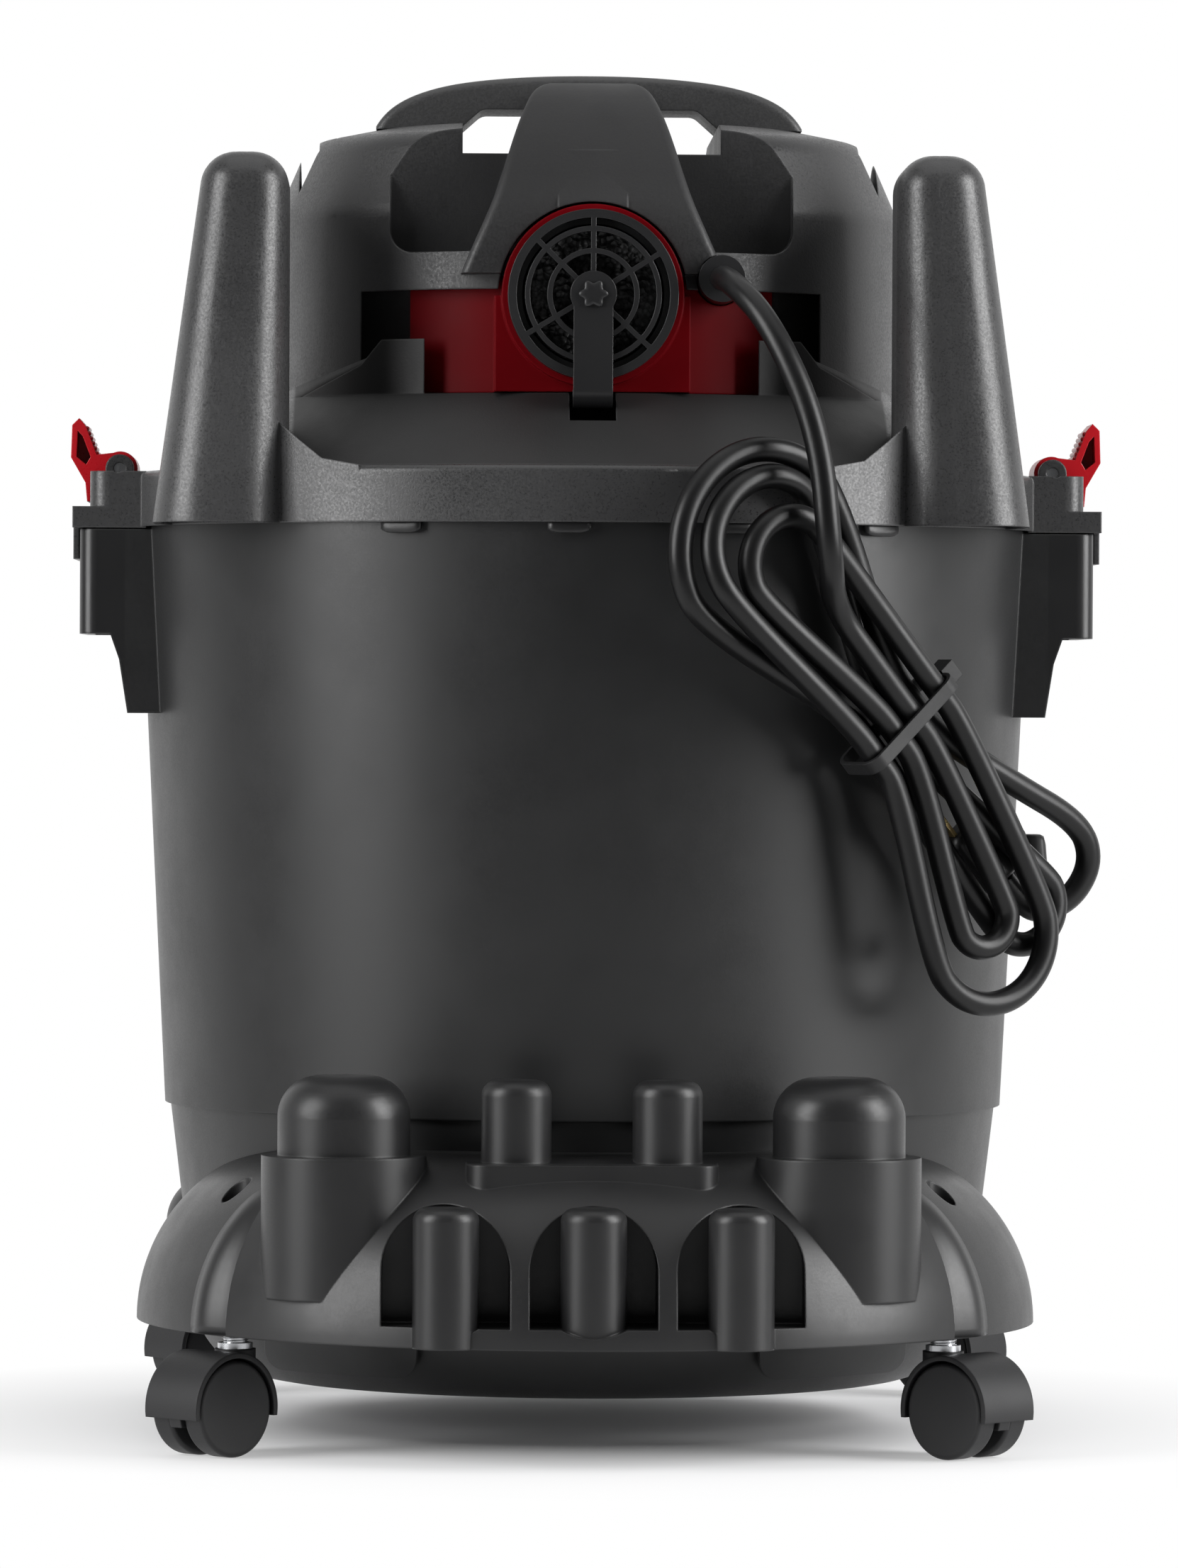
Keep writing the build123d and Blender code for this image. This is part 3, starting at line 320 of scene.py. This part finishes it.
# power cord: one line from the gland through the tied hank to the plug
cordLook = {"radius": 0.0043, "waist": (0.105, -0.127, 0.25), "turn": 32.0, "tilt": 48.0, "lay": 0.0094,
            "waistStep": 0.0115, "gate": (0.0445, -0.105, 0.403), "perLoop": 7, "hold": 0.014,
            "drop": ((0, -0.026, 0), (0.015, -0.048, -0.017), (0.031, -0.058, -0.054)),
            "sweep": (-0.07, 0.006, 0.02), "lead": 0.024, "leadBack": 0.026,
            "tail": ((0.05, 0.025, -0.0055), (0.08, 0.038, -0.007), (0.0945, 0.0345, -0.0085),
                     (0.1005, 0.0215, -0.0115), (0.0965, 0.0085, -0.0145), (0.087, 0.005, -0.0154),
                     (0.077, 0.005, -0.0154)),
            "roundSteps": 5, "lineSteps": 8}
turn = math.radians(cordLook["turn"])
tilt = math.radians(cordLook["tilt"])
upDir = Vector((0, 0, 1))
sideDir = Vector((math.cos(turn), math.sin(turn), 0))
outDir = Vector((math.sin(turn), -math.cos(turn), 0))
along = sideDir * math.cos(tilt) - upDir * math.sin(tilt)
across = sideDir * math.sin(tilt) + upDir * math.cos(tilt)


def hankPoint(u, w, n):     # along the hank, across it, and out from the tank
    return Vector(cordLook["waist"]) + along * u + across * w + outDir * n


def loopPoints(end, fan, length, radius, enter, n0, n1, n2):
    a = (end * math.cos(math.radians(fan)), end * math.sin(math.radians(fan)))
    b = (-a[1] * end * enter, a[0] * end * enter)
    last = cordLook["perLoop"] - 1
    wide = radius / math.cos(math.pi / 2 / last)
    made = []
    for k in range(last + 1):
        s = math.sin(math.pi * k / last)
        c = math.cos(math.pi * k / last)
        u = length * a[0] + wide * (s * a[0] + c * b[0])
        w = length * a[1] + wide * (s * a[1] + c * b[1])
        n = n1 * s + (n0 * (1 + c) + n2 * (1 - c)) / 2 * (1 - s)
        made.append(hankPoint(u, w, n))
    return made


def runPoints(u, w, n):
    return [hankPoint(s * u, w, n) for s in (-1, 0, 1)]


lay, step, hold = cordLook["lay"], cordLook["waistStep"], cordLook["hold"]
front, rear = lay / 2, -lay / 2
lanes = [-1.5 * step, -0.5 * step, lay - 0.5 * step, 1.5 * step]
gate = Vector(cordLook["gate"])
start = hankPoint(-cordLook["lead"], lanes[2], front)
# each loop: end, fan, length, radius, way in, three depths, then the run through the waist
hankTurns = [
    (+1, -16, 0.074, 0.0105, +1, front, front, front, -hold, lanes[1], front),
    (-1, 0, 0.072, 0.0168, -1, front, front, front, hold, lanes[3], front),
    (+1, -16, 0.080, 0.0245, +1, front, front, front, -hold, lanes[0], front),
    (-1, 0, 0.078, 0.0258, -1, front, 0.0, rear, hold, 0.0, rear),
    (+1, 0, 0.084, 0.014, +1, rear, rear, rear, -hold, -step, rear),
    (-1, 0, 0.078, 0.035, -1, rear, rear, rear, hold, step, rear),
]
cordPoints = [gate] + [gate + Vector(drop) for drop in cordLook["drop"]]
cordPoints += [hankPoint(*cordLook["sweep"]), start - along * cordLook["leadBack"], start]
cordPoints += [hankPoint(0, lanes[2], front), hankPoint(hold, lanes[2], front)]
for *loop, u, w, n in hankTurns:
    cordPoints += loopPoints(*loop) + runPoints(u, w, n)
cordPoints += [hankPoint(*spot) for spot in cordLook["tail"]]
curve = bpy.data.curves.new("powerCord", "CURVE")
curve.dimensions = "3D"
curve.bevel_depth = cordLook["radius"]
curve.bevel_resolution = cordLook["roundSteps"]
curve.use_fill_caps = True
line = curve.splines.new("NURBS")
line.points.add(len(cordPoints) - 1)
for point, spot in zip(line.points, cordPoints):
    point.co = (*spot, 1)
line.order_u = 3
line.use_endpoint_u = True
line.resolution_u = cordLook["lineSteps"]
powerCord = bpy.data.objects.new("powerCord", curve)
scene.collection.objects.link(powerCord)
dress(powerCord, "cord")
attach(powerCord, "head")
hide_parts("cord", "cord_hank")
print("cord line with", len(cordPoints), "points")


# pieces that are modelled here, each on the body that carries it
def meshPiece(name, points, faces, finish, body, slotName):
    mesh = bpy.data.meshes.new(name)
    mesh.from_pydata([tuple(p) for p in points], [], faces)
    shape = bmesh.new()
    shape.from_mesh(mesh)
    bmesh.ops.recalc_face_normals(shape, faces=shape.faces)
    shape.to_mesh(mesh)
    shape.free()
    mesh.shade_smooth()
    piece = bpy.data.objects.new(name, mesh)
    scene.collection.objects.link(piece)
    dress(piece, finish)
    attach(piece, body)
    return piece


def skinRings(rings, closed=False):
    points = [p for ring in rings for p in ring]
    around = len(rings[0])
    faces = []
    for i in range(len(rings) if closed else len(rings) - 1):
        j = (i + 1) % len(rings)
        for k in range(around):
            m = (k + 1) % around
            faces.append((i * around + k, i * around + m, j * around + m, j * around + k))
    if not closed:
        faces.append(tuple(range(around)))
        faces.append(tuple(range(len(points) - around, len(points))))
    return points, faces


def joinSkins(skins):
    points, faces = [], []
    for somePoints, someFaces in skins:
        faces += [tuple(i + len(points) for i in face) for face in someFaces]
        points += somePoints
    return points, faces


def circlePoint(r, angle, z):       # on a circle round the tank's axis
    return Vector((r * math.cos(angle), tankAxis.y + r * math.sin(angle), z))


# pitted foam pad behind the exhaust grille; rim rings give share of the radius and depth
foamLook = {"radius": 0.0239, "face": -0.1069, "height": 0.397, "rings": 30, "segments": 132,
            "rim": ((0.6, -0.0925), (0.97, -0.0925), (1.0, -0.0933), (1.0, -0.1059)), "inset": 0.4,
            "pit": 0.0017, "cell": 620, "fineCell": 2.1, "fineShare": 0.5}
foamTurns = [fullTurn * k / foamLook["segments"] for k in range(foamLook["segments"])]
foamRings = []
for share, y in foamLook["rim"]:
    r = foamLook["radius"] * share
    foamRings.append([Vector((r * math.cos(angle), y, foamLook["height"] + r * math.sin(angle)))
                      for angle in foamTurns])
for i in range(foamLook["rings"]):
    r = foamLook["radius"] * (1 - (i + foamLook["inset"]) / foamLook["rings"])
    ring = []
    for angle in foamTurns:
        spot = Vector((r * math.cos(angle), 0, r * math.sin(angle)))
        fine = abs(noise.noise(spot * foamLook["cell"] * foamLook["fineCell"]))
        pit = max(0.0, noise.noise(spot * foamLook["cell"])) + foamLook["fineShare"] * fine
        ring.append(spot + Vector((0, foamLook["face"] + foamLook["pit"] * min(1, pit), foamLook["height"])))
    foamRings.append(ring)
foamPad = meshPiece("exhaustFoam", *skinRings(foamRings), "foam", "exhaust_cap", "foam")
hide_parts("port_foam")

# pleated paper of the filter
paperLook = {"pleats": 36, "perPleat": 10, "crest": 0.0669, "valley": 0.0592, "inner": 0.0491, "low": 0.2051,
             "top": 0.3309, "rows": 14, "sharp": 1.25, "sway": 0.00035, "swayRound": 7, "swayUp": 60}
paperRings = []
for k in range(paperLook["pleats"] * paperLook["perPleat"]):
    share = k / paperLook["perPleat"]
    fold = abs(2 * (share % 1) - 1) ** paperLook["sharp"]
    angle = fullTurn * share / paperLook["pleats"]
    reach = paperLook["valley"] + (paperLook["crest"] - paperLook["valley"]) * fold
    section = []
    for row in range(paperLook["rows"] + 1):
        z = paperLook["low"] + (paperLook["top"] - paperLook["low"]) * row / paperLook["rows"]
        spot = Vector((paperLook["swayRound"] * math.cos(angle), paperLook["swayRound"] * math.sin(angle),
                       z * paperLook["swayUp"]))
        lean = paperLook["sway"] * noise.noise(spot)
        section.append(circlePoint(reach - abs(lean), angle + lean / reach, z))
    section.append(circlePoint(paperLook["inner"], angle, paperLook["top"]))
    section.append(circlePoint(paperLook["inner"], angle, paperLook["low"]))
    paperRings.append(section)
filterPaper = meshPiece("pleatedFilter", *skinRings(paperRings, True), "paper", "filter", "filter_paper")
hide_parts("filter_media")

# rounded seal under the lid's rim
sealLook = {"inner": 0.1546, "outer": 0.1594, "low": 0.326, "top": 0.33, "round": 0.0011, "segments": 160,
            "cornerSteps": 4}
sealR = (sealLook["inner"] + sealLook["round"], sealLook["outer"] - sealLook["round"])
sealZ = (sealLook["low"] + sealLook["round"], sealLook["top"] - sealLook["round"])
sealSection = []
for cornerR, cornerZ, fromAngle in ((sealR[1], sealZ[0], -90), (sealR[1], sealZ[1], 0),
                                    (sealR[0], sealZ[1], 90), (sealR[0], sealZ[0], 180)):
    for k in range(sealLook["cornerSteps"] + 1):
        a = math.radians(fromAngle + 90 * k / sealLook["cornerSteps"])
        sealSection.append((cornerR + sealLook["round"] * math.cos(a), cornerZ + sealLook["round"] * math.sin(a)))
sealRings = [[circlePoint(r, fullTurn * k / sealLook["segments"], z) for r, z in sealSection]
             for k in range(sealLook["segments"])]
rimSeal = meshPiece("rimSeal", *skinRings(sealRings, True), "rubber", "head", "seal_rubber")
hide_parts("lid_seal")

# finger ribs on the latches, set out from the pin; ends give place and share of the radius
ribLook = {"pin": (0.1662, 0.339), "from": (0.0082, 0.0046), "to": (0.0124, 0.0152), "count": 6, "sides": 12,
           "radius": 0.00095, "half": 0.0118,
           "ends": ((-1, 0.45), (-0.96, 0.9), (-0.9, 1), (0.9, 1), (0.96, 0.9), (1, 0.45))}
ribFrom = Vector(ribLook["from"])
ribSpan = Vector(ribLook["to"]) - ribFrom
ribSlope = math.atan2(ribSpan.y, ribSpan.x)
ribTurns = [ribSlope + fullTurn * m / ribLook["sides"] for m in range(ribLook["sides"])]
for side, tag, body in ((1, "Right", "latch_right"), (-1, "Left", "latch_left")):
    skins = []
    for k in range(ribLook["count"]):
        mid = Vector(ribLook["pin"]) + ribFrom + ribSpan * ((k + 0.5) / ribLook["count"])
        rings = []
        for y, size in ribLook["ends"]:
            r = ribLook["radius"] * size
            rings.append([Vector((side * (mid.x + r * math.cos(angle)), tankAxis.y + ribLook["half"] * y,
                                  mid.y + r * math.sin(angle))) for angle in ribTurns])
        skins.append(skinRings(rings))
    meshPiece("latchRibs" + tag, *joinSkins(skins), "latch", body, "red_plastic")

# curved fillets that close the corner between the motor cover and the lid's horns
filletLook = {"radius": 0.1116, "thick": 0.0012, "from": 0.077, "to": 0.1075, "steps": 14, "datum": 0.08,
              "top": 0.3757, "topFall": 0.36, "low": 0.371, "lowFall": 0.5}
for side, tag in ((1, "Right"), (-1, "Left")):
    rings = []
    for k in range(filletLook["steps"] + 1):
        x = filletLook["from"] + (filletLook["to"] - filletLook["from"]) * k / filletLook["steps"]
        top = filletLook["top"] - (x - filletLook["datum"]) * filletLook["topFall"]
        low = filletLook["low"] - (x - filletLook["datum"]) * filletLook["lowFall"]
        section = []
        for r, z in ((0, low), (0, top), (-1, top), (-1, low)):
            reach = filletLook["radius"] + r * filletLook["thick"]
            section.append(Vector((side * x, tankAxis.y - math.sqrt(reach ** 2 - x ** 2), z)))
        rings.append(section)
    meshPiece("hornFillet" + tag, *skinRings(rings), "lid", "head", "lid_plastic")

# clips under the lid's skirt, at the back
clipLook = {"at": (-3.0, 17.0, -24.0, 38.0), "wide": 2.6, "inner": 0.1609, "outer": 0.1622, "low": 0.3142,
            "top": 0.3195, "steps": 8, "endLift": 0.0048, "bevelIn": 0.0003, "bevelUp": 0.0005, "heel": 0.0004}
skins = []
for degrees in clipLook["at"]:
    rings = []
    for k in range(clipLook["steps"] + 1):
        away = 2 * k / clipLook["steps"] - 1
        angle = math.radians(-90 + degrees + clipLook["wide"] * away)
        low = clipLook["low"] + clipLook["endLift"] * max(0, abs(away) - 0.5) ** 2
        section = ((clipLook["inner"], low + clipLook["heel"]), (clipLook["outer"] - clipLook["bevelIn"], low),
                   (clipLook["outer"], low + clipLook["bevelUp"]), (clipLook["outer"], clipLook["top"]),
                   (clipLook["inner"], clipLook["top"]))
        rings.append([circlePoint(r, angle, z) for r, z in section])
    skins.append(skinRings(rings))
meshPiece("skirtClips", *joinSkins(skins), "black", "head", "lid_plastic")

# soft flute down the caddy's side above each rear caster
fluteLook = {"centre": -0.056, "hub": 0.095, "arc": 0.062, "low": 0.041, "aim": (0.1208, -0.137), "half": 0.0135,
             "steps": 22, "from": 0.5, "to": 54.0, "across": 10, "proud": 0.0034, "fade": 2.2, "least": 0.0002,
             "narrow": 0.45, "sink": 0.0003, "root": 0.0018}


def flutePoint(swell, lift, facing, shift):
    r = fluteLook["hub"] + swell * math.cos(lift)
    angle = facing + shift / r
    return Vector((r * math.cos(angle), fluteLook["centre"] + r * math.sin(angle),
                   fluteLook["low"] + swell * math.sin(lift)))


for side, tag in ((1, "Right"), (-1, "Left")):
    facing = math.atan2(fluteLook["aim"][1] - fluteLook["centre"], side * fluteLook["aim"][0])
    rings = []
    for k in range(fluteLook["steps"] + 1):
        share = k / fluteLook["steps"]
        lift = math.radians(fluteLook["from"] + (fluteLook["to"] - fluteLook["from"]) * share)
        proud = fluteLook["proud"] * (1 - share ** fluteLook["fade"]) + fluteLook["least"]
        half = fluteLook["half"] * (1 - fluteLook["narrow"] * share ** 2)
        section = []
        for m in range(fluteLook["across"] + 1):
            away = 2 * m / fluteLook["across"] - 1
            swell = fluteLook["arc"] + proud * math.cos(away * math.pi / 2) ** 2 - fluteLook["sink"]
            section.append(flutePoint(swell, lift, facing, away * half))
        for away in (1, -1):
            section.append(flutePoint(fluteLook["arc"] - fluteLook["root"], lift, facing, away * half))
        rings.append(section)
    meshPiece("caddyFlute" + tag, *skinRings(rings), "black", "tank", "black_plastic")

# drain cap on the right flank of the tank; each profile gives radius and rise from the wall
drainLook = {"angle": 4.0, "height": 0.2, "wall": 0.152, "sides": 6, "segments": 72,
             "boss": ((0.0145, 0.0), (0.0145, 0.0042), (0.0138, 0.0052), (0.006, 0.0052)),
             "washer": ((0.0118, 0.0045), (0.0118, 0.0066), (0.0112, 0.0072), (0.005, 0.0072)),
             "cap": ((0.0104, 0.0068), (0.0104, 0.0125), (0.0097, 0.0138), (0.0072, 0.0146), (0.003, 0.0149)),
             "cornerMost": 1.1, "cornerMean": 1.05}
drainAngle = math.radians(drainLook["angle"])
drainOut = Vector((math.cos(drainAngle), math.sin(drainAngle), 0))
drainSide = Vector((-math.sin(drainAngle), math.cos(drainAngle), 0))
halfFlat = math.pi / drainLook["sides"]
drainSkins = []
for layer, cornered in (("boss", 0), ("washer", 0), ("cap", 1)):
    rings = []
    for r, rise in drainLook[layer]:
        ring = []
        for k in range(drainLook["segments"]):
            angle = fullTurn * k / drainLook["segments"]
            away = (angle + halfFlat) % (2 * halfFlat) - halfFlat
            corner = min(drainLook["cornerMost"], 1 / math.cos(away)) - drainLook["cornerMean"]
            reach = r * (1 + cornered * corner)
            ring.append(tankAxis + drainOut * (drainLook["wall"] + rise) + drainSide * (reach * math.sin(angle))
                        + Vector((0, 0, drainLook["height"] + reach * math.cos(angle))))
        rings.append(ring)
    drainSkins.append(skinRings(rings))
meshPiece("drainCap", *joinSkins(drainSkins), "black", "tank", "black_plastic")

# lobed rivet that holds the tether on the exhaust cap; each ring gives depth and share of the radius
rivetLook = {"rings": ((-0.1135, 1.0), (-0.1143, 1.0), (-0.1147, 0.9), (-0.1147, 0.5)), "height": 0.397,
             "radius": 0.0044, "lobes": 6, "depth": 0.0007, "segments": 72}
rings = []
for y, size in rivetLook["rings"]:
    ring = []
    for k in range(rivetLook["segments"]):
        angle = fullTurn * k / rivetLook["segments"]
        reach = size * (rivetLook["radius"] + rivetLook["depth"] * math.cos(rivetLook["lobes"] * angle))
        ring.append(Vector((reach * math.cos(angle), y, rivetLook["height"] + reach * math.sin(angle))))
    rings.append(ring)
meshPiece("tetherRivet", *skinRings(rings), "grille", "exhaust_cap", "black_plastic")

# rolled thread on the short bare length of each caster stem; the section gives radius and share of the pitch
threadLook = {"low": 0.0382, "top": 0.041, "pitch": 0.0009, "perTurn": 20,
              "section": ((0.0036, -0.35), (0.0046, -0.06), (0.0046, 0.06), (0.0036, 0.35))}
for tag in ("rl", "rr", "fl", "fr"):
    low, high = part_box("caster_stem_" + tag)
    midX, midY = (low[0] + high[0]) / 2, (low[1] + high[1]) / 2
    rings = []
    turns = (threadLook["top"] - threadLook["low"]) / threadLook["pitch"]
    for k in range(int(turns * threadLook["perTurn"]) + 1):
        angle = fullTurn * k / threadLook["perTurn"]
        rise = threadLook["low"] + threadLook["pitch"] * k / threadLook["perTurn"]
        rings.append([Vector((midX + r * math.cos(angle), midY + r * math.sin(angle),
                              rise + up * threadLook["pitch"])) for r, up in threadLook["section"]])
    meshPiece("stemThread" + tag.upper(), *skinRings(rings), "steel", "caster_" + tag, "steel")
print("detail pieces made")

# pale floor that runs out into the white backdrop
floorLook = {"colour": (0.88, 0.88, 0.89), "mottle": 1.02, "mottleScale": 3, "mottleDetail": 3, "rough": 0.6,
             "specular": 0.15, "reach": 0.85, "fade": (0.1, 0.31)}
floorMesh = bpy.data.meshes.new("studioFloor")
shape = bmesh.new()
bmesh.ops.create_grid(shape, x_segments=2, y_segments=2, size=floorLook["reach"])
shape.to_mesh(floorMesh)
shape.free()
floor = bpy.data.objects.new("studioFloor", floorMesh)
scene.collection.objects.link(floor)
floorMat, floorTree, floorShader = newMaterial("paleFloor")
floorCoords = addCoords(floorTree)
floorCloud = addNoise(floorTree, floorCoords, floorLook["mottleScale"], floorLook["mottleDetail"])
paler = tuple(min(1, v * floorLook["mottle"]) for v in floorLook["colour"])
floorTree.links.new(addMix(floorTree, floorCloud, floorLook["colour"], paler), floorShader.inputs["Base Color"])
floorShader.inputs["Roughness"].default_value = floorLook["rough"]
floorShader.inputs["Specular IOR Level"].default_value = floorLook["specular"]
outward = floorTree.nodes.new("ShaderNodeVectorMath")
outward.operation = "LENGTH"
floorTree.links.new(floorCoords, outward.inputs[0])
glow = floorTree.nodes.new("ShaderNodeEmission")
glow.inputs["Color"].default_value = (1, 1, 1, 1)
floorRays = floorTree.nodes.new("ShaderNodeLightPath").outputs
seenFloor = addMath(floorTree, "MAXIMUM", floorRays["Is Camera Ray"],
                    addMath(floorTree, "MAXIMUM", floorRays["Is Glossy Ray"], floorRays["Is Transmission Ray"]))
fade = floorTree.nodes.new("ShaderNodeMixShader")
floorTree.links.new(addMath(floorTree, "MULTIPLY", seenFloor,
                            addRange(floorTree, outward.outputs["Value"], 0.0, 1.0, *floorLook["fade"])),
                    fade.inputs[0])
floorTree.links.new(floorShader.outputs[0], fade.inputs[1])
floorTree.links.new(glow.outputs[0], fade.inputs[2])
floorTree.links.new(fade.outputs[0], floorTree.nodes["Material Output"].inputs["Surface"])
floorMesh.materials.append(floorMat)

# room: white to the eye, darker on the camera's side as a light
roomLook = {"back": 0.07, "wall": 1.0, "side": (0.15, 0.95), "wallSide": (0.2, 0.65), "wallTop": (0.35, 0.6)}
world = bpy.data.worlds.new("studioWorld")
scene.world = world
world.use_nodes = True
sky = world.node_tree
sky.nodes.clear()
skyOut = sky.nodes.new("ShaderNodeOutputWorld")
roomLight = sky.nodes.new("ShaderNodeBackground")
roomLight.inputs["Color"].default_value = (1, 1, 1, 1)
whiteWall = sky.nodes.new("ShaderNodeBackground")
whiteWall.inputs["Color"].default_value = (1, 1, 1, 1)
whiteWall.inputs["Strength"].default_value = 1.0
towards = sky.nodes.new("ShaderNodeSeparateXYZ")
sky.links.new(sky.nodes.new("ShaderNodeTexCoord").outputs["Generated"], towards.inputs[0])
sky.links.new(addRange(sky, towards.outputs["Y"], roomLook["back"], roomLook["wall"], *roomLook["side"]),
              roomLight.inputs["Strength"])
rays = sky.nodes.new("ShaderNodeLightPath").outputs
# reflections show the wall behind the object, up to its top edge
wall = addMath(sky, "MULTIPLY", addRange(sky, towards.outputs["Y"], 0.0, 1.0, *roomLook["wallSide"]),
               addRange(sky, towards.outputs["Z"], 1.0, 0.0, *roomLook["wallTop"]))
mirrored = addMath(sky, "MULTIPLY", rays["Is Glossy Ray"], wall)
seenWall = addMath(sky, "MAXIMUM", rays["Is Camera Ray"],
                   addMath(sky, "MAXIMUM", mirrored, rays["Is Transmission Ray"]))
eitherWay = sky.nodes.new("ShaderNodeMixShader")
sky.links.new(seenWall, eitherWay.inputs[0])
sky.links.new(roomLight.outputs[0], eitherWay.inputs[1])
sky.links.new(whiteWall.outputs[0], eitherWay.inputs[2])
sky.links.new(eitherWay.outputs[0], skyOut.inputs["Surface"])

lamps = {
    "leftStrip": {"at": (-1.62, -0.86, 0.85), "aim": (0, 0, 0.3), "size": (0.95, 1.5), "watts": 36},
    "rightStrip": {"at": (1.66, -0.62, 0.85), "aim": (0, 0, 0.3), "size": (1.0, 1.5), "watts": 48},
    "overBox": {"at": (0, -0.3, 2.6), "aim": (0, 0, 0.2), "size": (2.6, 2.4), "watts": 18},
}
for name, lampLook in lamps.items():
    lamp = bpy.data.lights.new(name, "AREA")
    lamp.shape = "RECTANGLE"
    lamp.size, lamp.size_y = lampLook["size"]
    lamp.energy = lampLook["watts"]
    softbox = bpy.data.objects.new(name, lamp)
    softbox.location = lampLook["at"]
    facing = Vector(lampLook["aim"]) - Vector(lampLook["at"])
    softbox.rotation_euler = facing.to_track_quat("-Z", "Y").to_euler()
    scene.collection.objects.link(softbox)

shot = {"distance": 3.05, "yaw": -1.1, "height": 0.26, "aim": (0.0018, 0.013, 0.2273), "roll": 0.3, "lens": 195.3,
        "sensor": 36, "farthest": 60}
camData = bpy.data.cameras.new("photoCamera")
camData.lens = shot["lens"]
camData.sensor_width = shot["sensor"]
camData.clip_end = shot["farthest"]
cam = bpy.data.objects.new("photoCamera", camData)
scene.collection.objects.link(cam)
swing = math.radians(shot["yaw"])
cam.location = Vector((shot["distance"] * math.sin(swing), tankAxis.y - shot["distance"] * math.cos(swing),
                       shot["height"]))
look = (Vector(shot["aim"]) - cam.location).to_track_quat("-Z", "Y")
cam.rotation_euler = (look.to_matrix() @ Matrix.Rotation(math.radians(shot["roll"]), 3, "Z")).to_euler()
scene.camera = cam
print("stage, light and camera set")
